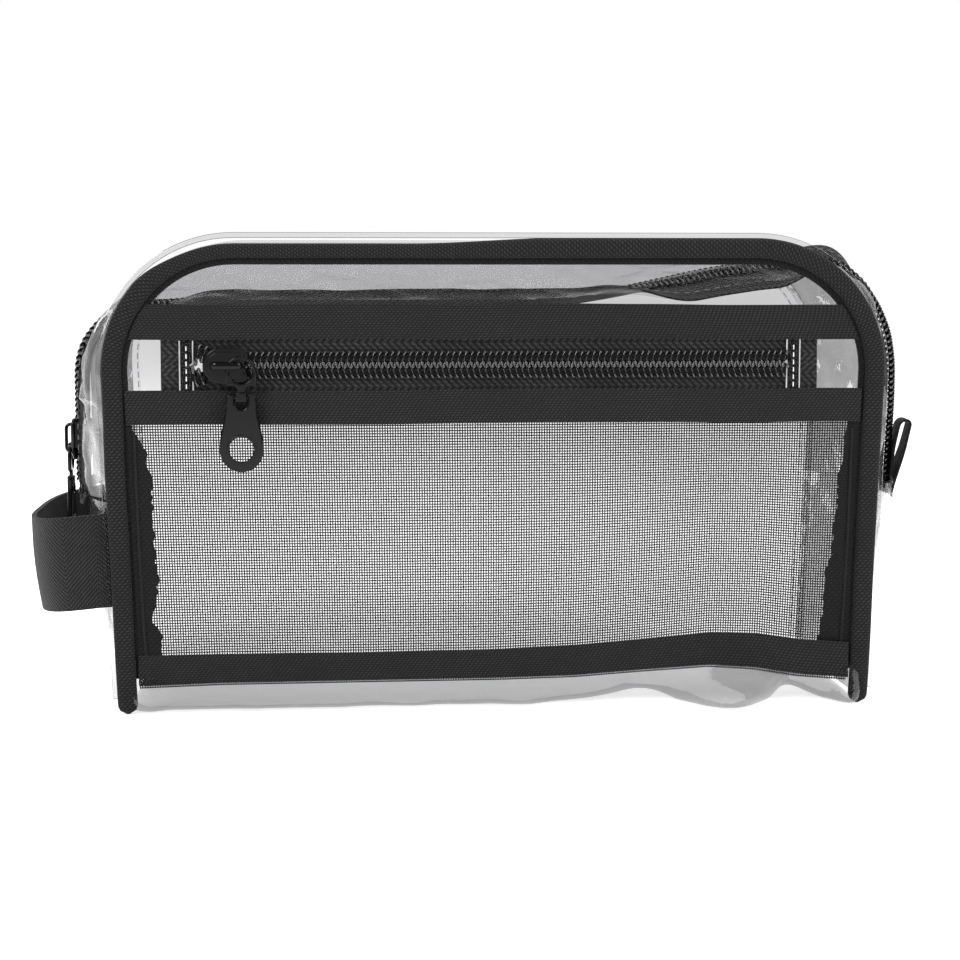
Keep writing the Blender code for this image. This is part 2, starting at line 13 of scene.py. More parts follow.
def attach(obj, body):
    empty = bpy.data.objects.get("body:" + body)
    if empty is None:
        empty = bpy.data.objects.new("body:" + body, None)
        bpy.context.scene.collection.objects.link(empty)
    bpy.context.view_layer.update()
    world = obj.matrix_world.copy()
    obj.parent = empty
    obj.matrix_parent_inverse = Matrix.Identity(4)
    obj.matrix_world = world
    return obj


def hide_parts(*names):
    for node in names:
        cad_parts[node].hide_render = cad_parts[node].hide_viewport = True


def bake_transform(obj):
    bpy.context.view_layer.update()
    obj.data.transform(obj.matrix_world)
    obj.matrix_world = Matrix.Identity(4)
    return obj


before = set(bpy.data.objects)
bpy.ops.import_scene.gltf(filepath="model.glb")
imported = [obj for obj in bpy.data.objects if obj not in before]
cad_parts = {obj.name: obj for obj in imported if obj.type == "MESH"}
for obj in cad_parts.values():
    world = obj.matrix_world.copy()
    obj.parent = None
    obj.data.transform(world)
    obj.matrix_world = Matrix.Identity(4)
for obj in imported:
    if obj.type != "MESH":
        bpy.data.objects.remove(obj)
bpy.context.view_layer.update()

# Body of the bag
WIDTH = 0.252
FOOT_WIDTH = 0.244
HEIGHT = 0.152
CORNER = 0.042
PANEL_Y = 0.047  # the panels' planes, front and back
BINDING_Y = 0.0487  # the middle of a binding's thickness
ZIP_END = 0.068
ARCH_ROWS = 180
FOOT_RADIUS = 0.0055

# Trims
ROLL_HALF_WIDTH = 0.0032
ROLL_HALF_DEPTH = 0.00165
FLANGE_WIDTH = 0.0026
BAND_THICK = 0.0007
TAPE_THICK = 0.0006
CHAIN_GAP = 0.0014
COIL_REACH = 0.0040  # of a coil's turns from the chain's middle
COIL_HEAD = -0.0009  # where they lock past it
TAPE_REACH = 0.0150
COIL_PITCH = 0.00196
COIL_WIRE = 0.00042
CHAIN_Z = 0.11195  # the pocket zip's height
THREAD = 0.00017

# Pocket, heights above the floor
LOWER_BAND = (0.0930, 0.1039)
UPPER_BAND = (0.1200, 0.1312)
POCKET_ZIP = (-0.0968, 0.0936)
BAND_Y = -0.04845
POCKET_TAPE_Y = -0.0473
POCKET_COIL_Y = -0.0489
MESH_PITCH = 0.00083
MESH_THREAD = 0.000178

# Hardware, measured from the tape's outer face
SLIDER_LENGTH = 0.0150
SLIDER_WIDTH = 0.0115
PLATE_THICK = 0.0012
SLIDER_TOP = 0.0038
LEG_SPACING = 0.0092
LINK_LIFT = 0.00475
LINK_THICK = 0.0013
LINK_DROP = 0.0018
CROWN_LIFT = 0.0057
PIN_DROP = 0.0100
TAB_THICK = 0.0018
TAB_TOP_RISE = 0.0011
TAB_HOLE_DROP = 0.0165
TAB_HOLE_RADIUS = 0.0039


# ---------------- numbers


def mix(a, b, share):
    return a + (b - a) * share


def ease(low, high, value):
    share = np.clip((value - low) / (high - low), 0.0, 1.0)
    return share * share * (3 - 2 * share)


def lumps(seed, u, v, size):
    """A smooth random height between -1 and 1 at each point (u, v), in lumps of this size."""
    table = np.random.RandomState(seed).uniform(-1, 1, (64, 64))
    a = np.asarray(u) / size + 17.3
    b = np.asarray(v) / size + 9.1
    i = np.floor(a).astype(int)
    j = np.floor(b).astype(int)
    s = ease(0, 1, a - i)
    t = ease(0, 1, b - j)
    low = mix(table[i % 64, j % 64], table[(i + 1) % 64, j % 64], s)
    high = mix(table[i % 64, (j + 1) % 64], table[(i + 1) % 64, (j + 1) % 64], s)
    return mix(low, high, t)


def unit(vectors):
    return vectors / np.maximum(np.linalg.norm(vectors, axis=-1, keepdims=True), 1e-12)


def outward(line):
    """Unit vectors at right angles to a line of points (x, z), to its left."""
    tangent = unit(np.gradient(line, axis=0))
    return np.stack([-tangent[:, 1], tangent[:, 0]], 1)


def hump(x, at, width):
    return np.exp(-(((x - at) / width) ** 2))


def even_line(points, count, rounds=0):
    """Points evenly spaced along a line, its corners smoothed by averaging rounds times."""
    points = np.asarray(points, float)
    for _ in range(2 if rounds else 1):
        steps = np.linalg.norm(np.diff(points, axis=0), axis=1)
        run = np.concatenate([[0.0], np.cumsum(steps)])
        where = np.linspace(0.0, run[-1], count)
        points = np.stack([np.interp(where, run, points[:, k]) for k in range(points.shape[1])], 1)
        for _ in range(rounds):
            points[1:-1] = (points[:-2] + 2 * points[1:-1] + points[2:]) / 4
    return points


# ---------------- meshes


def linked(name, data):
    """A new object in the scene."""
    made = bpy.data.objects.new(name, data)
    bpy.context.scene.collection.objects.link(made)
    return made


def make_object(name, points, faces, look, uvs=None, sharp=35):
    mesh = bpy.data.meshes.new(name)
    mesh.from_pydata(np.asarray(points, float).reshape(-1, 3).tolist(), [], faces)
    if uvs is not None:
        layer = mesh.uv_layers.new(name="UVMap")
        corners = np.empty(len(mesh.loops), np.int32)
        mesh.loops.foreach_get("vertex_index", corners)
        layer.data.foreach_set("uv", np.asarray(uvs, np.float32).reshape(-1, 2)[corners].ravel())
    mesh.shade_smooth()
    mesh.set_sharp_from_angle(angle=math.radians(sharp))
    mesh.materials.append(look)
    return linked(name, mesh)


def quads(rows, columns, ring=False):
    index = np.arange(rows * columns).reshape(rows, columns)
    if ring:
        index = np.concatenate([index, index[:, :1]], axis=1)
    corners = (index[:-1, :-1], index[:-1, 1:], index[1:, 1:], index[1:, :-1])
    return np.stack(corners, -1).reshape(-1, 4)


def lengths(points):
    """UVs in metres for a grid of points: U along a row, V across the rows."""
    along = np.linalg.norm(np.diff(points, axis=1), axis=2).mean(0)
    across = np.linalg.norm(np.diff(points, axis=0), axis=2).mean(1)
    u = np.concatenate([[0.0], np.cumsum(along)])
    v = np.concatenate([[0.0], np.cumsum(across)])
    return np.stack(np.meshgrid(u, v), -1)


def skin(name, points, look):
    """One surface through a grid of points, such as a sheet too thin for its thickness to show."""
    rows, columns = points.shape[:2]
    return make_object(name, points, quads(rows, columns).tolist(), look, lengths(points))


def cloth(name, points, thickness, look):
    """A closed sheet of this thickness centred on a grid of points."""
    rows, columns = points.shape[:2]
    normal = unit(np.cross(np.gradient(points, axis=1), np.gradient(points, axis=0)))
    both = np.stack([points + normal * thickness / 2, points - normal * thickness / 2])
    top = quads(rows, columns)
    index = np.arange(rows * columns).reshape(rows, columns)
    edge = np.concatenate(
        [index[0, :-1], index[:-1, -1], index[-1, :0:-1], index[:0:-1, 0]]
    )
    after = np.roll(edge, -1)
    wall = np.stack([edge, edge + rows * columns, after + rows * columns, after], -1)
    faces = np.concatenate([top, top[:, ::-1] + rows * columns, wall])
    uvs = np.stack([lengths(points)] * 2)
    return make_object(name, both, faces.tolist(), look, uvs)


def frames(path, up):
    """(side, up) unit vectors along a path, up being near the given direction or directions."""
    tangent = unit(np.gradient(path, axis=-2))
    up = np.broadcast_to(up, path.shape)
    side = unit(np.cross(tangent, up))
    return side, np.cross(side, tangent)


def sweep(name, path, outline, up, look):
    """A closed outline, points (side, up), carried along a path."""
    side, lift = frames(path, up)
    outline = np.asarray(outline)
    if outline.ndim == 2:
        outline = np.broadcast_to(outline, (len(path), *outline.shape))
    points = (
        path[:, None]
        + side[:, None] * outline[..., :1]
        + lift[:, None] * outline[..., 1:]
    )
    rows, columns = points.shape[:2]
    faces = quads(rows, columns, ring=True).tolist()
    faces.append(list(range(columns)))
    faces.append(list(range((rows - 1) * columns, rows * columns))[::-1])
    return make_object(name, points, faces, look, lengths(points))


def tubes(name, paths, radius, look, up=(0.0, 1.0, 0.0), sides=6):
    """Round threads along many paths of equal length, (threads, points, 3), as one piece."""
    paths = np.asarray(paths, float)
    side, lift = frames(paths, up)
    turn = np.linspace(0, 2 * math.pi, sides, endpoint=False)
    radius = np.broadcast_to(radius, paths.shape[:2])[:, :, None, None]
    ring = side[:, :, None] * np.cos(turn)[:, None] + lift[:, :, None] * np.sin(turn)[:, None]
    points = paths[:, :, None] + radius * ring
    count, rows = paths.shape[:2]
    one = quads(rows, sides, ring=True)
    step = rows * sides
    walls = (one[None] + np.arange(count)[:, None, None] * step).reshape(-1, 4)
    start = np.arange(count)[:, None] * step
    near = start + np.arange(sides)[::-1]
    far = start + (rows - 1) * sides + np.arange(sides)
    faces = walls.tolist() + near.tolist() + far.tolist()
    return make_object(name, points, faces, look, sharp=60)


def ellipse(half_width, half_depth, count, power=1.0):
    """A rounded outline; a power under 1 squares it."""
    turn = np.linspace(0, 2 * math.pi, count, endpoint=False)
    x = np.sign(np.cos(turn)) * np.abs(np.cos(turn)) ** power * half_width
    y = np.sign(np.sin(turn)) * np.abs(np.sin(turn)) ** power * half_depth
    return np.stack([x, y], 1)


def arc(centre, radius, start, end, steps):
    turn = np.radians(np.linspace(start, end, steps + 1))
    return [(centre[0] + radius * math.cos(t), centre[1] + radius * math.sin(t)) for t in turn]


def plate(name, outlines, thickness, rounding, look, lift=0.0):
    """A flat piece with rounded edges from closed outlines, the inner ones being holes."""
    curve = bpy.data.curves.new(name, "CURVE")
    curve.dimensions = "2D"
    curve.fill_mode = "BOTH"
    curve.extrude = thickness / 2 - rounding
    curve.bevel_depth = rounding
    curve.bevel_resolution = 3
    curve.offset = -rounding
    for outline in outlines:
        spline = curve.splines.new("POLY")
        spline.points.add(len(outline) - 1)
        for point, (x, y) in zip(spline.points, outline):
            point.co = (x, y, 0.0, 1.0)
        spline.use_cyclic_u = True
    guide = linked(name, curve)
    bpy.context.view_layer.update()
    solved = guide.evaluated_get(bpy.context.evaluated_depsgraph_get())
    mesh = bpy.data.meshes.new_from_object(solved)
    bpy.data.objects.remove(guide)
    mesh.transform(Matrix.Translation((0, 0, lift)))
    mesh.shade_smooth()
    mesh.set_sharp_from_angle(angle=math.radians(30))
    mesh.materials.clear()
    mesh.materials.append(look)
    return linked(name, mesh)


def joined(name, pieces, place=Matrix.Identity(4)):
    """Several pieces as one object, placed by a matrix."""
    for piece in pieces:
        piece.data.transform(piece.matrix_world)
        piece.matrix_world = Matrix.Identity(4)
    with bpy.context.temp_override(
        active_object=pieces[0], selected_editable_objects=pieces, selected_objects=pieces
    ):
        bpy.ops.object.join()
    made = pieces[0]
    made.name = name
    made.data.transform(place)
    return made


# ---------------- materials


class Look:
    """A material being built."""

    def __init__(self, name, **sockets):
        self.material = bpy.data.materials.new(name)
        self.material.use_nodes = True
        self.tree = self.material.node_tree
        self.shader = self.tree.nodes["Principled BSDF"]
        self.output = self.tree.nodes["Material Output"]
        for key, value in sockets.items():
            socket = self.shader.inputs[key.replace("_", " ")]
            socket.default_value = (*value, 1.0) if isinstance(value, tuple) else value

    def node(self, kind, settings=None, **inputs):
        made = self.tree.nodes.new("ShaderNode" + kind)
        for key, value in (settings or {}).items():
            setattr(made, key, value)
        for key, value in inputs.items():
            key = key.replace("_", " ")
            numbered = key[0] == "i" and key[1:].isdigit()
            socket = made.inputs[int(key[1:]) if numbered else key]
            if isinstance(value, bpy.types.NodeSocket):
                self.tree.links.new(value, socket)
            elif isinstance(value, tuple) and socket.type == "RGBA":
                socket.default_value = (*value, 1.0)
            else:
                socket.default_value = value
        return made

    def math(self, operation, a, b=0.0, c=0.0):
        return self.node("Math", {"operation": operation}, i0=a, i1=b, i2=c).outputs[0]

    def shade(self, fac, dark, light):
        """A colour between two, by a factor."""
        made = self.node("Mix", {"data_type": "RGBA"}, Factor=fac)
        made.inputs[6].default_value = (*dark, 1.0)
        made.inputs[7].default_value = (*light, 1.0)
        return made.outputs[2]

    def uv(self):
        """U and V in metres."""
        split = self.node("SeparateXYZ", Vector=self.node("TexCoord").outputs["UV"])
        return split.outputs[0], split.outputs[1]

    def bump(self, height, depth):
        return self.node("Bump", Height=height, Distance=depth, Strength=1.0).outputs["Normal"]

    def link(self, output, socket):
        self.tree.links.new(output, self.shader.inputs[socket])


def grey(value):
    return (value, value, value * 1.005)


def noise(look, size, detail=3.0):
    source = look.node("TexCoord").outputs["Object"]
    made = look.node("TexNoise", Vector=source, Scale=1.0 / size, Detail=detail, Roughness=0.6)
    return made.outputs["Fac"]


def finish_fabric(look, pattern, dark, light, depth):
    """Colours a weave lighter on its raised floats and darker in its grooves, painted light and shade,
    with fuzz, uneven dye and relief.
    """
    worn = noise(look, 0.011)
    fine = noise(look, 0.0004, 2.0)
    # the weave's pattern sets the colour: painted highlight on the floats and painted shade between
    # them; the noises add fuzz and uneven dye
    shade_fuzz_and_dye = look.math("MULTIPLY", pattern, look.math("MULTIPLY_ADD", fine, 2.2, -0.35))
    shade_fuzz_and_dye = look.math("MULTIPLY", shade_fuzz_and_dye, look.math("MULTIPLY_ADD", worn, 0.9, 0.5))
    look.link(look.shade(shade_fuzz_and_dye, grey(dark), grey(light)), "Base Color")
    look.link(look.bump(look.math("MULTIPLY_ADD", fine, 0.35, pattern), depth), "Normal")
    look.link(look.math("MULTIPLY_ADD", fine, 0.25, 0.60), "Roughness")
    return look.material


def twill(name, pitch, slope, dark, light):
    """Diagonal rows of short floats, each row staggered from the next."""
    look = Look(name, Specular_IOR_Level=0.12, Sheen_Weight=0.04, Sheen_Roughness=0.5)
    u, v = look.uv()
    lean = look.math("MULTIPLY_ADD", v, slope, u)
    row = look.math("MULTIPLY", v, 2 * math.pi / pitch)
    along = look.math("MULTIPLY", lean, 2 * math.pi / (pitch * 1.7))
    a = look.math("MULTIPLY_ADD", look.math("SINE", row), 0.5, 0.5)
    b = look.math("MULTIPLY_ADD", look.math("SINE", along), 0.5, 0.5)
    both = look.math("POWER", look.math("MULTIPLY", a, b), 1.3)
    return finish_fabric(look, both, dark, light, 0.00012)


def herringbone(name, pitch, leg, dark, light, depth=0.00015, middle=0.0, along=False):
    """Slanted ribs that turn over every leg's width; along says that the strip runs along V."""
    look = Look(name, Specular_IOR_Level=0.15, Sheen_Weight=0.04, Sheen_Roughness=0.45)
    u, v = look.uv()[::-1] if along else look.uv()
    folded = look.math("PINGPONG", look.math("ADD", v, middle), leg)
    slant = look.math("ADD", u, folded)
    rib = look.math("SINE", look.math("MULTIPLY", slant, 2 * math.pi / pitch))
    rib = look.math("MULTIPLY_ADD", rib, 0.5, 0.5)
    cross = look.math("SINE", look.math("MULTIPLY", v, 2 * math.pi / (pitch * 0.55)))
    cross = look.math("MULTIPLY_ADD", cross, 0.3, 0.7)
    return finish_fabric(look, look.math("MULTIPLY", rib, cross), dark, light, depth)


def enamel(name, base, roughness, coat=0.3):
    look = Look(name, Metallic=0.0, Coat_Weight=coat, Coat_Roughness=0.08, Specular_IOR_Level=0.10)
    fine = noise(look, 0.0009)
    broad = noise(look, 0.012)
    look.link(look.shade(broad, grey(base * 0.8), grey(base * 1.3)), "Base Color")
    look.link(look.math("MULTIPLY_ADD", fine, 0.10, roughness), "Roughness")
    look.link(look.bump(fine, 0.000008), "Normal")
    return look.material


def plastic_thread(name, base, roughness, gloss=0.5):
    look = Look(name, Specular_IOR_Level=gloss, Coat_Weight=gloss, Coat_Roughness=0.12)
    fine = noise(look, 0.0008)
    look.link(look.shade(fine, grey(base * 0.6), grey(base * 1.6)), "Base Color")
    look.link(look.math("MULTIPLY_ADD", fine, 0.15, roughness), "Roughness")
    return look.material


def clear_vinyl(name, tint, haze, edge=0.4, base=0.10, ripple=0.00035):
    """Clear soft sheet: it dims what lies behind, and its gloss grows at a glancing angle."""
    look = Look(name, Base_Color=grey(base), Roughness=0.045, IOR=1.52)
    broad = noise(look, 0.030, 2.0)
    fine = noise(look, 0.006, 3.0)
    normal = look.bump(look.math("MULTIPLY_ADD", fine, 0.10, broad), ripple * 4)
    look.link(normal, "Normal")
    through = look.node("BsdfTransparent", Color=grey(tint))
    glance = look.node("LayerWeight", Blend=0.30, Normal=normal).outputs["Fresnel"]
    share = look.math("MULTIPLY_ADD", glance, edge, haze)
    made = look.node("MixShader", i0=share, i1=through.outputs[0], i2=look.shader.outputs[0])
    look.tree.links.new(made.outputs[0], look.output.inputs["Surface"])
    return look.material


def studio_white(name):
    look = Look(name, Roughness=0.9, Specular_IOR_Level=0.1)
    look.link(look.shade(noise(look, 0.5), (0.93, 0.93, 0.93), (0.96, 0.96, 0.96)), "Base Color")
    look.shader.inputs["Emission Color"].default_value = (1.0, 1.0, 1.0, 1.0)
    look.shader.inputs["Emission Strength"].default_value = 0.30
    return look.material


VINYL = clear_vinyl("clear_vinyl", 0.80, 0.03)
# the side strips' vinyl lets more through than the front's: a lighter copy of the same sheet, painted
# brightness for the highlights on the gusset
SIDE_VINYL_BRIGHTENED = clear_vinyl("clear_vinyl_gusset_brightened", 0.88, 0.03, 0.60, 0.06, 0.0009)
VINYL_EDGE = clear_vinyl("clear_vinyl_edge", 0.90, 0.03, 0.85, 0.04)
BINDING = twill("binding_weave", 0.00090, 0.9, 0.0035, 0.034)
FLANGE = twill("binding_weave_inner", 0.0010, 0.9, 0.0025, 0.012)
BAND = twill("band_weave", 0.00080, 0.7, 0.0045, 0.036)
ZIP_TAPE = herringbone("zip_tape_herringbone", 0.0023, 0.0040, 0.0020, 0.040, middle=0.0008)
WEBBING = herringbone("webbing_herringbone", 0.0014, 0.0105, 0.0014, 0.040, 0.0003, along=True)
RIBBON = twill("ribbon_twill", 0.00080, 1.0, 0.003, 0.018)
COIL = plastic_thread("coil_nylon", 0.004, 0.20, 0.6)
THREAD_LOOK = plastic_thread("sewing_thread", 0.006, 0.45, 0.2)
STITCH_LOOK = plastic_thread("coil_stitching", 0.003, 0.70, 0.06)
# clear thread drawn opaque light grey: painted glints on the stitches over clear vinyl
CLEAR_STITCH_GLINT = plastic_thread("clear_stitch_painted_glint", 0.60, 0.30)
SEWING_LOOK = plastic_thread("grey_sewing", 0.10, 0.30)
# opaque grey for the tubes on the end tabs' folded edges: painted highlights
FOLD_HIGHLIGHT = plastic_thread("clear_fold_painted_highlight", 0.30, 0.15, 0.8)
MESH_LOOK = plastic_thread("mesh_thread", 0.004, 0.55, 0.15)
METAL = enamel("satin_black_enamel", 0.002, 0.10, 0.16)


# ---------------- lines of the bag


def side(z, inset=0.0):
    """Half the width of a panel at height z, inset from its edge."""
    z = np.asarray(z, float)
    shoulder = HEIGHT - CORNER
    straight = mix(FOOT_WIDTH, WIDTH, np.clip(z / shoulder, 0, 1)) / 2 - inset
    run = np.sqrt(np.maximum((CORNER - inset) ** 2 - np.maximum(z - shoulder, 0) ** 2, 0.0))
    return np.where(z <= shoulder, straight, WIDTH / 2 - CORNER + run)


def seam_line(low=0.0, inset=0.0, count=ARCH_ROWS):
    """Points (x, z) of a panel's edge from its left foot over the top to its right foot."""
    shoulder = HEIGHT - CORNER
    radius = CORNER - inset
    half = WIDTH / 2
    left = [(-float(side(z, inset)), z) for z in np.linspace(low, shoulder, 12)]
    left += arc((CORNER - half, shoulder), radius, 180, 90, 24)[1:]
    line = np.array(left + [(-x, z) for x, z in left[::-1]])
    return even_line(line, count)


ZIP_HEIGHTS = [
    (-0.1363, ZIP_END), (-0.1363, 0.080), (-0.1363, 0.104), (-0.1363, 0.110),
    (-0.1345, 0.117), (-0.1285, 0.1245), (-0.1160, 0.1290), (-0.100, 0.1292),
    (-0.060, 0.1290), (-0.020, 0.1285), (0.020, 0.1285), (0.045, 0.1325), (0.075, 0.1390),
    (0.096, 0.1425), (0.112, 0.1435), (0.1222, 0.1418), (0.1300, 0.1360), (0.1352, 0.1285),
    (0.1388, 0.1200), (0.1403, 0.1100), (0.1403, 0.0970), (0.1395, 0.0820), (0.1387, ZIP_END),
]  # the main zip sags between the panels and its corners stand up


def zip_line(count=ARCH_ROWS, lift=0.0):
    """Points (x, z) of the main zip from its left end over the top to its right end."""
    line = even_line(ZIP_HEIGHTS, count, 6)
    return line + outward(line) * lift


def slump(x, z, y):
    """(lean in x, rise in z) of the main zip's tapes at depth y, beside the zip's point (x, z)."""
    z = np.asarray(z)
    top = ease(-0.112, -0.092, x) * ease(0.118, 0.098, x) * (z > 0.12)
    stands = ease(0.072, 0.036, x) * (0.0128 + 0.0010 * lumps(401, x, 0 * x, 0.022))
    corner = 0.0080 * hump(x, 0.120, 0.015) * (z > 0.122)
    y = np.clip(y / TAPE_REACH, -1, 1)
    front, back = np.minimum(y, 0.0), np.maximum(y, 0.0)
    lean = 0.0052 * ease(0.128, 0.137, x) * front + 0.4 * corner * back
    return lean, front * (0.0068 - stands) * top + back * (0.0020 * top + corner)


def on_plane(line, y):
    return np.stack([line[:, 0], np.full(len(line), y), line[:, 1]], 1)


# ---------------- vinyl walls


def foot_wave(x):
    """How far the front's lower edge rolls back at x; it bulges forward in the lobes."""
    dents = 0.0065 * hump(x, 0.049, 0.013) + 0.0080 * hump(x, 0.098, 0.007)
    lobes = 0.0150 * hump(x, 0.075, 0.013) + 0.0100 * hump(x, 0.1155, 0.005)
    lobes = lobes + 0.0040 * hump(x, -0.113, 0.006)
    return dents - lobes - 0.0032 * ease(0.028, 0.010, x) * ease(-0.122, -0.110, x)


def wrap():
    """The sheet from the front's top edge down, under the bag and up to the back's top."""
    top = HEIGHT - 0.0045
    down = np.linspace(top, FOOT_RADIUS, 90)
    low = 0.0006
    bend = [(FOOT_RADIUS * (1 - math.cos(t)),
             low + FOOT_RADIUS * (1 - math.sin(t)) * (1 - low / FOOT_RADIUS))
            for t in np.linspace(0, math.pi / 2, 12)[1:]]
    under = np.linspace(FOOT_RADIUS - PANEL_Y, PANEL_Y - FOOT_RADIUS, 40)[1:-1]
    route = [(-PANEL_Y, z) for z in down]
    route += [(-PANEL_Y + reach, z) for reach, z in bend]
    route += [(y, low) for y in under]
    route += [(PANEL_Y - reach, z) for reach, z in bend[::-1]]
    route += [(PANEL_Y, z) for z in down[::-1]]
    route = even_line(np.array(route), 260)
    y, z = route[:, :1], route[:, 1:]
    share = np.linspace(-1, 1, 150)[None]
    x = share * side(np.clip(z, 0, HEIGHT), 0.0035)
    y = y + 0 * x
    z = z + 0 * x
    inward = np.minimum((1 - np.abs(share)) * 0.12, 0.02) / 0.02
    inward = inward * np.clip((HEIGHT - 0.004 - z) / 0.012, 0, 1)
    front = ease(0.0, -0.030, y) * ease(0.001, 0.02, z)
    back = ease(0.0, 0.030, y) * ease(0.001, 0.02, z)
    soft = lumps(3, x, z, 0.045) + 0.45 * lumps(5, x + 0.4 * z, z, 0.018)
    crease = 0.35 * lumps(11, x - z, 0.4 * z, 0.0085)
    y = y + front * inward * (0.0030 + 0.0016 * soft + 0.0006 * crease)
    y = y - back * inward * (0.0025 + 0.0022 * lumps(7, x, z, 0.05) + 0.0008 * crease)
    wave = foot_wave(x)
    near_foot = ease(0.018, 0.003, z) * ease(0.0, -0.036, y)
    y = y + wave * near_foot
    z = z + np.maximum(wave, 0) * 0.35 * ease(0.016, 0.0, z) * ease(0.0, -0.030, y)
    swirl = lumps(21, x + 0.7 * z, 1.5 * z - 0.4 * x, 0.012)
    y = y + 0.0016 * swirl * near_foot * (1 - np.abs(share) ** 6)
    z = np.maximum(z, 0.0004)
    under_rise = 0.0018 * (0.5 + 0.5 * lumps(9, x, y, 0.03)) * ease(0.012, 0.0, z)
    z = z + under_rise * ease(0.046, 0.030, np.abs(y))
    made = skin("vinyl_front_bottom_back", np.stack([x, y, z], -1), VINYL)
    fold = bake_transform(made)
    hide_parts("vinyl_wrap_sheet", "front_panel_upper")


def place_half(piece, facing):
    """The front half of the top is baked in place, and the back half stays on the shell."""
    if facing < 0:
        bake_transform(piece)
    else:
        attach(piece, "shell")


def gusset(facing):
    """A strip from a panel's seam to its main zip tape; it swells at the corners and sags on top."""
    word = "front" if facing < 0 else "back"
    columns = 26
    seam = seam_line(ZIP_END, 0.0012)
    line = zip_line(ARCH_ROWS, -0.0008)
    share = np.linspace(0, 1, columns)[None, :, None]
    across = share[..., 0]
    swell = mix(across, np.sin(across * math.pi / 2), 0.45)
    x = mix(seam[:, :1], line[:, :1], swell)
    z = mix(seam[:, 1:], line[:, 1:], swell)
    y = facing * mix(PANEL_Y - 0.0004, 0.0105, across) + 0 * x
    out = outward(line)
    run = np.linspace(0, 0.4, ARCH_ROWS)[:, None]
    free = np.sin(across * math.pi) ** 0.8
    seed = 31 if facing < 0 else 47
    soft = 0.0022 * lumps(seed, run, across * 0.03, 0.034)
    soft = soft + 0.0013 * lumps(seed + 1, run + across * 0.02, across * 0.03, 0.013)
    soft = soft + 0.0006 * lumps(seed + 2, run - across * 0.03, across * 0.03, 0.0055)
    soft = soft + 0.0010 * lumps(seed + 5, run * 0.3, across * 0.03, 0.0060)
    corner = 0.0030 * hump(x, -0.118, 0.022) * (z > 0.1)
    push = free * (soft + corner)
    lean, sunk = slump(line[:, :1], line[:, 1:], facing * (0.0105 + 0 * across))
    x = x + out[:, :1] * push + lean * swell
    z = z + out[:, 1:] * push + sunk * swell
    made = skin(f"vinyl_gusset_{word}", np.stack([x, y, z], -1), SIDE_VINYL_BRIGHTENED)
    place_half(made, facing)
    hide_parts(f"gusset_strip_{word}")


def lower_gusset(hand):
    """The side below an end of the main zip."""
    word = "left" if hand < 0 else "right"
    rows, columns = 44, 56
    z = np.linspace(0.0012, ZIP_END, rows)[:, None]
    across = np.linspace(-1, 1, columns)[None]
    y = across * (PANEL_Y - 0.0004) + 0 * z
    line = zip_line()
    end = abs(line[0 if hand < 0 else -1, 0]) - 0.0008
    full = (end - side(ZIP_END)) * np.sin(z / ZIP_END * math.pi / 2)
    x = side(z, 0.0012) + full * (1 - np.abs(across) ** 3.2)
    free = (1 - np.abs(across) ** 4) * np.sin(np.clip(z / ZIP_END, 0, 1) * math.pi) ** 0.6
    seed = 61 if hand < 0 else 73
    soft = 0.0030 * lumps(seed, y, z, 0.030) + 0.0016 * lumps(seed + 1, y + 0.5 * z, 0.6 * z, 0.012)
    x = x + free * (soft - 0.001)
    made = skin(f"vinyl_side_{word}", np.stack([hand * x, y, z + 0 * x], -1), SIDE_VINYL_BRIGHTENED)
    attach(made, "shell")
    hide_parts(f"lower_gusset_{word}")


def front_binding():
    """The woven roll over the front panel's edge and its inner flange."""
    line = seam_line(0.0, count=420)
    out = outward(line)
    up = (0.0, -1.0, 0.0)
    count = len(line)
    run = np.linspace(0, 0.55, count)
    wobble = lumps(83, run, 0 * run, 0.03)
    slim = 0.0009 * ease(0.020, -0.030, line[:, 0]) * ease(0.138, 0.150, line[:, 1])
    centre = line - out * (ROLL_HALF_WIDTH - 0.0003 + 0.00025 * wobble + slim)[:, None]
    path = on_plane(centre, -BINDING_Y)
    path[:, 1] += 0.0002 * wobble
    close = np.minimum(run, run[::-1]) / ROLL_HALF_WIDTH
    taper = np.sqrt(np.clip(1 - (1 - np.clip(close, 0, 1)) ** 2, 0.02, 1))[:, None, None]
    width = (ROLL_HALF_WIDTH - slim)[:, None, None] / ROLL_HALF_WIDTH
    outline = ellipse(ROLL_HALF_WIDTH, ROLL_HALF_DEPTH, 20, 0.75)[None] * taper * width
    roll = sweep("binding_front", path, outline, up, BINDING)
    inner = on_plane(line - out * (2 * ROLL_HALF_WIDTH + FLANGE_WIDTH / 2 - 0.0008),
                     -PANEL_Y - 0.0007)
    flange = sweep("binding_front_flange", inner[9:-9], ellipse(FLANGE_WIDTH / 2, 0.0004, 8, 0.5),
                   up, FLANGE)
    for piece in (roll, flange, rim("vinyl_rim_front", line, -1, 0.0011, 0.0009)):
        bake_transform(piece)
    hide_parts("front_binding", "front_binding_foot_left", "front_binding_foot_right")


def rim(name, line, facing, proud, half):
    """The trimmed edge of the vinyl along a seam."""
    out = outward(line)
    path = on_plane(line + out * proud, facing * (PANEL_Y + 0.0003))
    return sweep(name, path[4:-4], ellipse(half, 0.0006, 10), (0.0, float(facing), 0.0), VINYL_EDGE)


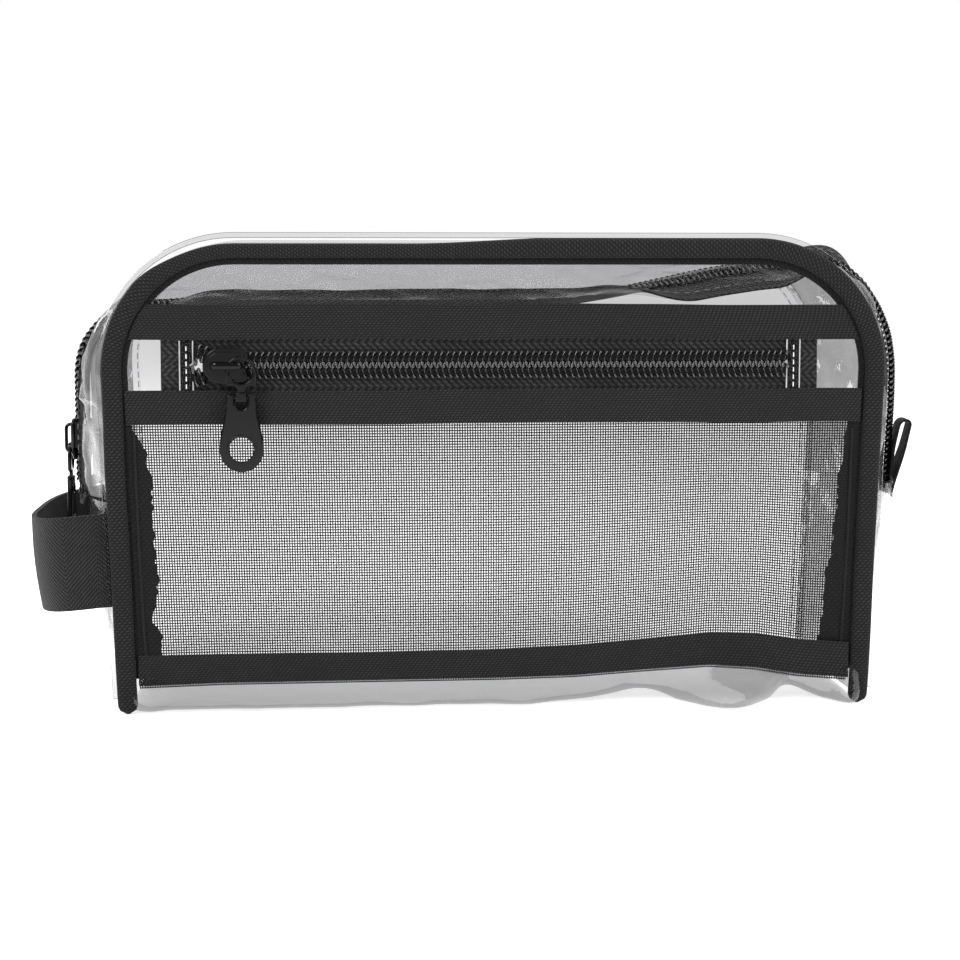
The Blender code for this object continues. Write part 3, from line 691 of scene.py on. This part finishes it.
def back_seam():
    """The clear folded seam round the back panel, with its stitches."""
    line = seam_line(0.0, count=420)
    welt = rim("vinyl_back_seam", line, 1, -0.0012, 0.0024)
    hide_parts("back_seam_welt")
    inside = seam_line(0.003, 0.0030, count=150)
    tangent = unit(np.gradient(inside, axis=0))
    dashes = [[(x - u * 0.0011, PANEL_Y + 0.0010, z - w * 0.0011), (x, PANEL_Y + 0.0012, z),
               (x + u * 0.0011, PANEL_Y + 0.0010, z + w * 0.0011)]
              for (x, z), (u, w) in zip(inside, tangent)]
    sewn = tubes("vinyl_back_seam_stitches", dashes, THREAD, CLEAR_STITCH_GLINT)
    for piece in (welt, sewn):
        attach(piece, "shell")


# ---------------- zips


def coil(name, path, across, out):
    """One half of a chain: a nylon wire turned round and round beside a path, and sewn down.

    The path has 16 points a turn. Each turn goes from past the chain's middle out to its reach.
    """
    t = np.arange(len(path)) / 16
    angle = 2 * math.pi * t
    middle, half = (COIL_REACH + COIL_HEAD) / 2, (COIL_REACH - COIL_HEAD) / 2
    sideways = middle - half * np.sign(np.cos(angle)) * np.abs(np.cos(angle)) ** 0.7
    lift = 0.00085 * np.sign(np.sin(angle)) * np.abs(np.sin(angle)) ** 0.6
    fat = np.where(np.cos(angle) > 0.55, 1.45, np.where(np.cos(angle) < -0.8, 1.15, 0.72))
    lift = lift + 0.00030 * (np.cos(angle) > 0.55)
    tangent = unit(np.gradient(path, axis=0))
    points = path + across * sideways[:, None] + out * lift[:, None]
    points = points + tangent * (0.22 * np.maximum(sideways, 0.0))[:, None]
    wire = tubes(name, points[None], COIL_WIRE * fat[None], COIL, up=out[None], sides=8)
    stitches = []
    for place in (0.0014, 0.0021, 0.0028):
        wave = 0.00028 * np.sin(angle + place * 2000)
        hump = 0.00098 + 0.00022 * np.cos(angle)
        stitches.append(path + across * (place + wave)[:, None] + out * hump[:, None])
    sewn = tubes("sewn", stitches, 0.00036, STITCH_LOOK, up=out[None], sides=6)
    return joined(name, [wire, sewn])


def chain_path(line, start, end):
    """A path resampled to 16 points a turn between two shares of its length."""
    span = np.linalg.norm(np.diff(line, axis=0), axis=1).sum() * (end - start)
    turns = int(span / COIL_PITCH)
    where = np.linspace(start, end, turns * 16 + 1)
    share = np.linspace(0, 1, len(line))
    return np.stack([np.interp(where, share, line[:, k]) for k in range(line.shape[1])], 1)


def sewing(word, facing, line):
    """The stitches that hold a tape of the main zip to its vinyl strip."""
    line = even_line(line, 1 + 4 * 110)
    tangent = unit(np.gradient(line, axis=0))
    out = unit(np.stack([-tangent[:, 2], 0 * tangent[:, 0], tangent[:, 0]], 1))
    dashes = np.stack([(line + out * 0.0009)[k:-4 + k:4] for k in range(3)], 1)
    sewn = tubes(f"main_zip_sewing_{word}", dashes, THREAD, SEWING_LOOK, up=(1.0, 0.0, 0.3))
    place_half(sewn, facing)


def main_zip():
    for word, facing in (("front", -1), ("back", 1)):
        line = zip_line(ARCH_ROWS, 0.0006)
        across = np.linspace(0.00015, TAPE_REACH, 12)
        ripple = 0.0004 * lumps(101, np.linspace(0, 0.4, ARCH_ROWS)[:, None], across[None], 0.012)
        depth = facing * across[None] + 0 * line[:, :1]
        lean, sunk = slump(line[:, :1], line[:, 1:], depth)
        sunk = sunk + ripple * ease(0.006, 0.015, across[None])
        grid = np.stack([line[:, :1] + lean, depth, line[:, 1:] + sunk], -1)
        sewing(word, facing, grid[:, -4])
        grid = np.swapaxes(grid, 0, 1)
        tape = cloth(f"main_zip_tape_{word}_weave", grid, TAPE_THICK, ZIP_TAPE)
        chain = chain_path(zip_line(400, 0.0019), 0.010, 0.990)
        tangent = unit(np.gradient(chain, axis=0))
        out = on_plane(outward(chain), 0.0)
        path = on_plane(chain, 0.0) + on_plane(tangent, 0.0) * (COIL_PITCH / 4 * facing)
        lean, rise = slump(path[:, 0], path[:, 2], facing * TAPE_REACH)
        across = unit(np.stack([lean, facing * TAPE_REACH + 0 * lean, rise], 1))
        turns = coil(f"main_zip_coil_{word}_turns", path, across, out)
        for piece, node, finish in ((tape, "tape", "zip_tape"), (turns, "coil", "coil")):
            place_half(piece, facing)
            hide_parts(f"main_zip_{node}_{word}")


def pocket_strip(name, low, high, seed):
    share_x = np.linspace(-1, 1, 110)[None]
    share_z = np.linspace(0, 1, 7)[:, None]
    z = mix(low, high, share_z) + 0.0003 * lumps(seed, share_x * 0.12, 0 * share_z, 0.03)
    x = share_x * side(z, 0.0070)
    y = BAND_Y + 0.0004 * lumps(seed + 5, x, z, 0.025)
    return cloth(name, np.stack([x, y, z], -1)[:, ::-1], BAND_THICK, BAND)


def parted(x):
    """How far each half of the pocket zip stands off its middle, open beside the slider's nose."""
    return 0.0022 * ease(-0.0900, -0.0945, x) * ease(-0.0980, -0.0958, x)


def pocket():
    """Bands, zip tapes, coils and end tabs."""
    for word, (low, high), seed in (("lower", LOWER_BAND, 131), ("upper", UPPER_BAND, 137)):
        band = pocket_strip(f"pocket_band_{word}_weave", low, high, seed)
        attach(band, "front")
        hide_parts(f"pocket_band_{word}")
    left, right = POCKET_ZIP
    for word, up in (("lower", -1), ("upper", 1)):
        near = CHAIN_Z + up * CHAIN_GAP / 2
        far = LOWER_BAND[1] - 0.003 if up < 0 else UPPER_BAND[0] + 0.003
        x = np.linspace(left - 0.0105, right + 0.0105, 120)[None]
        z = mix(near + up * parted(x) - up * 0.00074, far, np.linspace(0, 1, 8)[:, None])
        y = POCKET_TAPE_Y + 0.00025 * lumps(150 + up, x, z, 0.012) + 0 * x
        grid = np.stack([x + 0 * z, y + 0 * z, z + 0 * x], -1)
        grid = grid if up < 0 else grid[:, ::-1]
        tape = cloth(f"pocket_zip_tape_{word}_weave", grid, TAPE_THICK, ZIP_TAPE)
        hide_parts(f"pocket_zip_tape_{word}")
        line = np.stack([np.linspace(left, right, 400), np.full(400, CHAIN_Z)], 1)
        chain = chain_path(line, 0.0, 1.0)
        part = parted(chain[:, 0])
        shift = COIL_PITCH / 4 * up
        path = np.stack([chain[:, 0] + shift, 0 * part + POCKET_COIL_Y, CHAIN_Z + up * part], 1)
        out = np.broadcast_to((0.0, -1.0, 0.0), path.shape)
        across = np.broadcast_to((0.0, 0.0, float(up)), path.shape)
        turns = coil(f"pocket_zip_coil_{word}_turns", path, across, out)
        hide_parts(f"pocket_zip_coil_{word}")
        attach(tape, "front")
        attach(turns, "front")
    for word, x in (("left", left - 0.0024), ("right", right + 0.0024)):
        end_tab(word, x)


def end_tab(word, x):
    """The folded clear tab over an end of the pocket zip, with its stitches and light grey tubes on
    its folded edges, painted highlights.
    """
    low, high, half = LOWER_BAND[1] + 0.0002, UPPER_BAND[0] - 0.0002, 0.0021
    z = np.linspace(low, high, 10)[:, None]
    across = np.linspace(-half, half, 7)[None]
    y = -0.0486 - 0.0003 * np.cos(across / half * math.pi / 2) + 0 * z
    grid = np.stack([x + across + 0 * z, y, z + 0 * across], -1)[:, ::-1]
    tab = cloth(f"pocket_zip_end_tab_{word}_fold", grid, 0.0005, VINYL)
    heights = np.arange(low + 0.0012, high - 0.001, 0.0024)
    dashes = [[(x, -0.04915, h - 0.0007), (x, -0.0493, h), (x, -0.04915, h + 0.0007)]
              for h in heights]
    sewn = tubes(f"pocket_zip_end_stitches_{word}", dashes, THREAD, CLEAR_STITCH_GLINT)
    # light grey tubes on the tab's folded edges: painted highlights where the clear folds catch the
    # light
    folds = [[(x + shift, -0.0487, h) for h in (low, (low + high) / 2, high)]
             for shift in (-half, half)]
    edge_highlights = tubes("edge_highlights", folds, 0.00026, FOLD_HIGHLIGHT)
    sewn = joined(f"pocket_zip_end_stitches_{word}", [sewn, edge_highlights])
    for piece in (tab, sewn):
        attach(piece, "front")
    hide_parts(f"pocket_zip_end_tab_{word}")


# ---------------- mesh pocket


HEM_KNOTS = (-0.118, -0.090, -0.040, 0.0, 0.025, 0.046, 0.070, 0.085, 0.100, 0.118)


def hem_low(x):
    return np.interp(x, HEM_KNOTS, (0.0092, 0.0100, 0.0102, 0.0103, 0.0108, 0.0122, 0.0136, 0.0125,
                                    0.0100, 0.0085))


def hem_high(x):
    return np.interp(x, HEM_KNOTS, (0.0188, 0.0192, 0.0192, 0.0196, 0.0205, 0.0222, 0.0244, 0.0238,
                                    0.0215, 0.0200))


def mesh_y(x, z):
    """The mesh's surface: it bellies out a little below the lower band."""
    belly = np.sin(np.clip((z - 0.012) / 0.085, 0, 1) * math.pi) * (1 - (np.abs(x) / 0.12) ** 4)
    return -0.0474 - 0.0016 * belly - 0.0006 * lumps(171, x, z, 0.05) * belly


def mesh_panel():
    rows = int((LOWER_BAND[0] - 0.0175) / MESH_PITCH)
    share = np.concatenate([np.linspace(0, 1, rows)[:, None], [[0.0], [0.0]]])
    span = np.linspace(-1, 1, 70)[None]
    x = span * side(mix(0.018, LOWER_BAND[0], share), 0.0072)
    z = mix(hem_high(x) - 0.0012, LOWER_BAND[0] + 0.003, share)
    z[-2] = hem_low(x[-2]) - 0.0003
    z[-1] = hem_low(x[-1]) - 0.0010
    weft = tubes("pocket_mesh_weft", np.stack([x, mesh_y(x, z) - MESH_THREAD * 0.8, z], -1),
                 MESH_THREAD, MESH_LOOK, sides=4)
    columns = np.arange(-0.1185, 0.1185, MESH_PITCH)[:, None]
    up = np.linspace(0, 1, 24)[None]
    z = mix(hem_low(columns) - 0.0012, LOWER_BAND[0] + 0.003, up)
    x = columns * side(z, 0.0072) / float(side(LOWER_BAND[0], 0.0072)) + 0 * z
    warp = tubes("pocket_mesh_warp", np.stack([x, mesh_y(x, z) + MESH_THREAD * 0.8, z], -1),
                 MESH_THREAD, MESH_LOOK, sides=4)
    for piece in (weft, warp):
        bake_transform(piece)
    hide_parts("pocket_mesh_lower", "pocket_mesh_upper")


HEM_HEIGHTS = (0.012, 0.020, 0.024, 0.031, 0.040, 0.062, 0.078, 0.088, 0.094)
HEM_WIDTHS = {
    "left": (0.0070, 0.0072, 0.0075, 0.0052, 0.0068, 0.0068, 0.0066, 0.0042, 0.0018),
    "right": (0.0100, 0.0098, 0.0095, 0.0088, 0.0085, 0.0068, 0.0055, 0.0045, 0.0030),
}


def side_hem(hand):
    """The mesh's ragged turned edge beside the binding."""
    word = "left" if hand < 0 else "right"
    z = np.linspace(0.012, LOWER_BAND[0] + 0.001, 110)[:, None]
    wide = np.interp(z, HEM_HEIGHTS, HEM_WIDTHS[word])
    wide = wide + 0.0009 * lumps(181 + hand, z, 0 * z, 0.0045) + 0.0005 * lumps(183, z, 0 * z, 0.0016)
    across = np.linspace(0, 1, 7)[None]
    x = side(z, 0.0070) - across * np.maximum(wide, 0.0006)
    y = mesh_y(x, z) - 0.0006 + 0.0002 * lumps(191, x, z, 0.004)
    grid = np.stack([hand * x, y, z + 0 * x], -1)
    grid = grid if hand < 0 else grid[:, ::-1]
    hem = cloth(f"pocket_side_hem_{word}", grid[:, ::-1], 0.0004, FLANGE)
    height = np.linspace(0.016, 0.091, 160)
    edge = hand * (side(height, 0.0070) - 0.0023 + 0.0003 * lumps(187, height, 0 * height, 0.02))
    fold = np.stack([edge, mesh_y(edge, height) - 0.0010, height], -1)
    bead = 0.00034 + 0.00016 * np.sin(height / 0.0011 * math.pi) ** 2
    ridge = tubes(f"pocket_side_hem_fold_{word}", fold[None], bead[None], BAND)
    for piece in (hem, ridge):
        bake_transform(piece)
    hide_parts(f"pocket_side_hem_lower_{word}", f"pocket_side_hem_upper_{word}")


def hem_band():
    share = np.linspace(-1, 1, 130)[None]
    up = np.linspace(0, 1, 9)[:, None]
    x = share * (side(0.014, 0.0068))
    z = mix(hem_low(x), hem_high(x), up)
    y = mesh_y(x, z) - 0.0009 + 0.0005 * lumps(211, x, z, 0.02) - 0.0010 * ease(0.02, 0.07, x)
    band = cloth("pocket_hem_band_weave", np.stack([x + 0 * up, y, z], -1)[:, ::-1], BAND_THICK, BAND)
    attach(band, "shell")
    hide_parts("pocket_hem_band")


# ---------------- hardware


def slider_plan(inset):
    """The slider seen from outside: a round nose at -X and two rounded shoulders at +X."""
    half = SLIDER_WIDTH / 2 - inset
    nose = arc((half - SLIDER_LENGTH / 2 + inset, 0.0), half, 90, 270, 20)
    tail = SLIDER_LENGTH / 2 - inset
    shoulder = arc((tail * 0.62, -half * 0.62), half * 0.38, -90, 20, 8)
    notch = [(tail * 0.80, -half * 0.22), (tail * 0.72, 0.0), (tail * 0.80, half * 0.22)]
    return nose + shoulder + notch + [(x, -y) for x, y in shoulder[::-1]]


def cast(name, pieces, place, node):
    """Joins the plates of a metal piece and puts it on the body of its own name."""
    made = joined(name, pieces, place)
    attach(made, node)
    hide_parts(node)


def box(half_x, low, high):
    return [(-half_x, low), (half_x, low), (half_x, high), (-half_x, high)]


def make_slider(name, place, node):
    top = plate(name, [slider_plan(0.0)], PLATE_THICK, 0.0005, METAL, SLIDER_TOP - PLATE_THICK / 2)
    rim = plate("rim", [slider_plan(0.0013)], 0.0006, 0.00025, METAL, SLIDER_TOP + 0.0001)
    under = plate("under", [slider_plan(0.0003)], PLATE_THICK, 0.0004, METAL,
                  -TAPE_THICK - 0.0003 - PLATE_THICK / 2)
    flanges = []
    for hand in (-1, 1):
        edge = [(-0.0035, hand * 0.0047), (0.0052, hand * 0.0047), (0.0058, hand * 0.0053),
                (-0.0030, hand * 0.0055)]
        flanges.append(plate("flange", [edge[::hand]], 0.0028, 0.0002, METAL, 0.0018))
    leg = LEG_SPACING / 2
    top_z = CROWN_LIFT + 0.0005
    route = [(-leg, SLIDER_TOP - 0.0004), (-leg, top_z - 0.0009), (-leg + 0.0004, top_z - 0.0002),
             (-leg + 0.0013, top_z), (leg - 0.0013, top_z), (leg - 0.0004, top_z - 0.0002),
             (leg, top_z - 0.0009), (leg, SLIDER_TOP - 0.0004)]
    route = even_line(np.array(route), 40, 2)
    path = np.stack([route[:, 0], 0 * route[:, 0], route[:, 1]], 1)
    crown = sweep("crown", path, ellipse(0.0011, 0.00062, 12, 0.8), (0.0, 0.0, 1.0), METAL)
    post = plate("post", [box(0.0025, -0.0003, 0.0003)], 0.0050, 0.0001, METAL, 0.0010)
    cast(name, [top, rim, under, crown, post] + flanges, place, node)


def make_link(name, place, node):
    """An arched plate with a round opening, a neck and the eye for the tab's pin."""
    half = 0.0049
    ring = arc((0.0, -LINK_DROP), half, 0, 180, 20)
    foot = -LINK_DROP - 0.0046
    ring += [(-half, foot + 0.0006), (-half + 0.0006, foot), (-0.0020, foot), (-0.0014, foot - 0.0010),
             (0.0014, foot - 0.0010), (0.0020, foot), (half - 0.0006, foot), (half, foot + 0.0006)]
    opening = arc((0.0, -LINK_DROP - 0.0001), half - 0.0011, 0, 345, 23)
    body_plate = plate(name, [ring, opening], LINK_THICK, 0.0004, METAL)
    eye_low, eye_high = -PIN_DROP - 0.0015, -PIN_DROP + 0.0017
    eye = plate("eye", [box(0.0018, eye_low, eye_high)], 0.0026, 0.0005, METAL)
    neck = plate("neck", [[(-0.0013, foot), (-0.0013, eye_high - 0.0004), (0.0013, eye_high - 0.0004),
                           (0.0013, foot)]], 0.0012, 0.0003, METAL)
    cast(name, [body_plate, eye, neck], place, node)


def make_tab(name, place, node):
    top, length, half, neck = TAB_TOP_RISE, 0.0248, 0.0069, 0.00485
    belly = top - length + half
    slot, depth = 0.0021, 0.0049
    edge = [(-slot, top), (-neck + 0.0008, top), (-neck, top - 0.0008)]
    edge += [(mix(-neck, -half, ease(0, 1, s)), mix(top - 0.003, belly + 0.001, s))
             for s in np.linspace(0, 1, 10)]
    edge += arc((0.0, belly), half, 180, 360, 32)
    edge += [(mix(half, neck, ease(0, 1, s)), mix(belly + 0.001, top - 0.003, s))
             for s in np.linspace(0, 1, 10)]
    edge += [(neck, top - 0.0008), (neck - 0.0008, top), (slot, top)]
    edge += arc((0.0, top - depth + slot), slot, 0, -180, 10)
    hole = arc((0.0, -TAB_HOLE_DROP), TAB_HOLE_RADIUS, 0, 350, 35)
    blade = plate(name, [edge, hole], TAB_THICK, 0.00055, METAL)
    rim = plate("rim", [arc((0.0, -TAB_HOLE_DROP), TAB_HOLE_RADIUS + 0.0009, 0, 350, 35),
                        arc((0.0, -TAB_HOLE_DROP), TAB_HOLE_RADIUS + 0.0001, 0, 350, 35)],
                TAB_THICK + 0.0006, 0.0002, METAL)
    pin = tubes("pin", [[(x, 0, 0) for x in (-0.0044, -0.0015, 0.0015, 0.0044)]], 0.0006, METAL,
                up=(0.0, 0.0, 1.0), sides=14)
    cast(name, [blade, rim, pin], place, node)


def hardware(prefix, on_tape, leg, hang):
    make_slider(f"{prefix}_slider_cast", on_tape, f"{prefix}_slider")
    hung = on_tape @ Matrix.Translation((leg * LEG_SPACING / 2, 0, LINK_LIFT))
    hung = hung @ Matrix.Rotation(hang, 4, "Z")
    make_link(f"{prefix}_link_cast", hung, f"{prefix}_link")
    at_pin = hung @ Matrix.Translation((0, -PIN_DROP, 0))
    make_tab(f"{prefix}_pull_tab_cast", at_pin, f"{prefix}_pull_tab")


# ---------------- straps


def side_handle():
    """The webbing arch on the left; it droops a little at its far end."""
    start, far, wide = 0.1205, 0.1512, 0.0462
    turn = np.linspace(-math.pi / 2, math.pi / 2, 60)
    bend_x = start + 0.006 + (far - start - 0.006) * np.abs(np.cos(turn)) ** 0.62
    bend_y = wide * np.sign(np.sin(turn)) * np.abs(np.sin(turn)) ** 0.75
    route = [(start, -wide)] + list(zip(bend_x, bend_y)) + [(start, wide)]
    route = even_line(np.array(route), 90, 3)
    reach = (route[:, 0] - start) / (far - start)
    up = np.linspace(0, 1, 12)[:, None]
    middle = 0.0498 - 0.0036 * reach ** 1.5 + 0.0010 * ease(0.0, 0.045, route[:, 1])
    z = middle[None] + 0.0300 * (up - 0.5) * (1 + 0.01 * reach)
    bow = 0.0008 * np.sin(up * math.pi) * reach[None]
    x = -(route[None, :, 0] + bow - 0.0030 * (0.5 - up) * reach[None])
    y = route[None, :, 1] + 0 * up
    made = cloth("side_handle_webbing", np.stack([x, y, z], -1)[:, ::-1], 0.0016, WEBBING)
    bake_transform(made)
    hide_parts("side_handle", "handle_end_front", "handle_end_back")


def grab_loop():
    """The folded ribbon that stands up at the right end of the main zip."""
    base, height = (0.1412, 0.0650), 0.0232
    open_ = np.linspace(0, 1, 40)
    width = 0.0007 + 0.0013 * np.sin(np.clip(open_ * 1.3, 0, 1) * math.pi / 2) ** 2
    up = open_ * height
    inner = np.stack([-width, up], 1)
    cap = np.array(arc((0.0, height), float(width[-1]), 180, 0, 14))[1:-1]
    outer = np.stack([width, up], 1)[::-1]
    route = even_line(np.concatenate([inner, cap, outer]), 90)
    across = np.linspace(-0.5, 0.5, 8)[:, None]
    twist = np.radians(-7) * ease(0.0, 0.024, route[None, :, 1])
    dx = route[None, :, 0] + 0.24 * route[None, :, 1]
    y0 = 0.0105 * across
    x = base[0] + dx - np.sin(twist) * y0
    y = np.cos(twist) * y0
    z = base[1] + route[None, :, 1] + 0 * across
    made = cloth("grab_loop_ribbon", np.stack([x, y, z], -1), 0.0008, RIBBON)
    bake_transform(made)
    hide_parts("grab_loop")


def cross_tab(hand):
    """The folded vinyl tab over an end of the main zip, with its row of stitches."""
    word = "left" if hand < 0 else "right"
    line = zip_line(ARCH_ROWS, 0.0016)
    x0 = line[0 if hand < 0 else -1, 0]
    half, curl, middle = 0.0185, 0.0022, 0.0680
    z = np.linspace(0.0648, 0.0712, 7)[:, None]
    y = np.linspace(-half, half, 24)[None]
    x = hand * (abs(x0) - curl * (np.abs(y) / half) ** 2.5) + 0 * z
    grid = np.stack([x, y + 0 * z, z + 0 * y], -1)[:, ::-hand]
    tab = cloth(f"main_zip_end_fold_{word}", grid, 0.0008, VINYL_EDGE)
    dashes = []
    for place in np.arange(-0.0165, 0.017, 0.0026):
        at = hand * (abs(x0) + 0.0006 - curl * (abs(place) / half) ** 2.5)
        dashes.append([(at, place - 0.0008, middle), (at + hand * 0.00015, place, middle),
                       (at, place + 0.0008, middle)])
    sewn = tubes(f"main_zip_end_stitches_{word}", dashes, THREAD, THREAD_LOOK, up=(0.0, 0.0, 1.0))
    for piece in (tab, sewn):
        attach(piece, "shell")
    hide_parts(f"main_zip_end_tab_{word}")


# ---------------- studio


def area_light(name, place, target, size, power):
    light = bpy.data.lights.new(name, "AREA")
    light.shape = "RECTANGLE"
    light.size, light.size_y = size
    light.energy = power
    made = linked(name, light)
    made.location = place
    aim = np.asarray(target, float) - np.asarray(place, float)
    made.rotation_euler = Matrix(frame_of(aim)).to_euler()
    return made


def frame_of(aim):
    """Rotation rows that point -Z along aim with +Y as near up as can be."""
    back = -unit(aim)
    right = unit(np.cross((0.0, 0.0, 1.0), back) + (1e-9, 0, 0))
    up = np.cross(back, right)
    return np.stack([right, up, back], 1).tolist()


def studio():
    floor = make_object("floor", [(-9, -9, 0), (9, -9, 0), (9, 9, 0), (-9, 9, 0)],
                        [(0, 1, 2, 3)], studio_white("studio_floor"))
    world = bpy.data.worlds.new("studio")
    world.use_nodes = True
    tree = world.node_tree
    direction = tree.nodes.new("ShaderNodeTexCoord").outputs["Generated"]
    split = tree.nodes.new("ShaderNodeSeparateXYZ")
    ramp = tree.nodes.new("ShaderNodeMapRange")
    for key, value in (("From Min", -0.9), ("From Max", 0.2), ("To Min", 0.30), ("To Max", 1.0)):
        ramp.inputs[key].default_value = value
    tree.links.new(direction, split.inputs[0])
    tree.links.new(split.outputs[1], ramp.inputs["Value"])
    background = tree.nodes["Background"]
    background.inputs["Color"].default_value = (1.0, 1.0, 1.0, 1.0)
    tree.links.new(ramp.outputs["Result"], background.inputs["Strength"])
    bpy.context.scene.world = world
    area_light("key_left", (-1.0, -1.3, 1.2), (0, 0, 0.08), (0.8, 0.8), 26)
    area_light("key_right", (1.2, -1.0, 1.0), (0, 0, 0.08), (0.5, 1.0), 16)
    area_light("top", (0.1, 0.1, 1.7), (0, 0, 0.0), (1.4, 0.7), 22)
    area_light("back_left", (-1.1, 0.9, 0.9), (0, 0, 0.08), (0.5, 0.9), 10)
    bpy.context.scene.view_settings.view_transform = "Standard"


def camera():
    lens = bpy.data.cameras.new("camera")
    lens.sensor_width = 36.0
    lens.lens = 2038.0 / 960 * 36.0
    lens.clip_start = 0.01
    made = linked("camera", lens)
    yaw, pitch = math.radians(4.5), math.radians(5.7)
    aim = (math.sin(yaw) * math.cos(pitch), math.cos(yaw) * math.cos(pitch), -math.sin(pitch))
    made.location = (-0.0571, -0.700, 0.140)
    made.rotation_euler = Matrix(frame_of(np.array(aim))).to_euler()
    bpy.context.scene.camera = made


def build():
    front_binding()
    back_seam()
    for facing in (-1, 1):
        gusset(facing)
        lower_gusset(facing)
        side_hem(facing)
        cross_tab(facing)
    wrap()
    main_zip()
    pocket()
    mesh_panel()
    hem_band()
    out_front = Matrix.Rotation(math.pi / 2, 4, "X")
    hardware("pocket", Matrix.Translation((-0.0865, -0.0476, CHAIN_Z)) @ out_front, 1, 0.0)
    out_left = Matrix(((0, 0, -1, -0.1369), (0, 1, 0, 0), (1, 0, 0, 0.0855), (0, 0, 0, 1)))
    hardware("main", out_left, -1, -math.pi / 2)
    side_handle()
    grab_loop()
    studio()
    camera()


build()
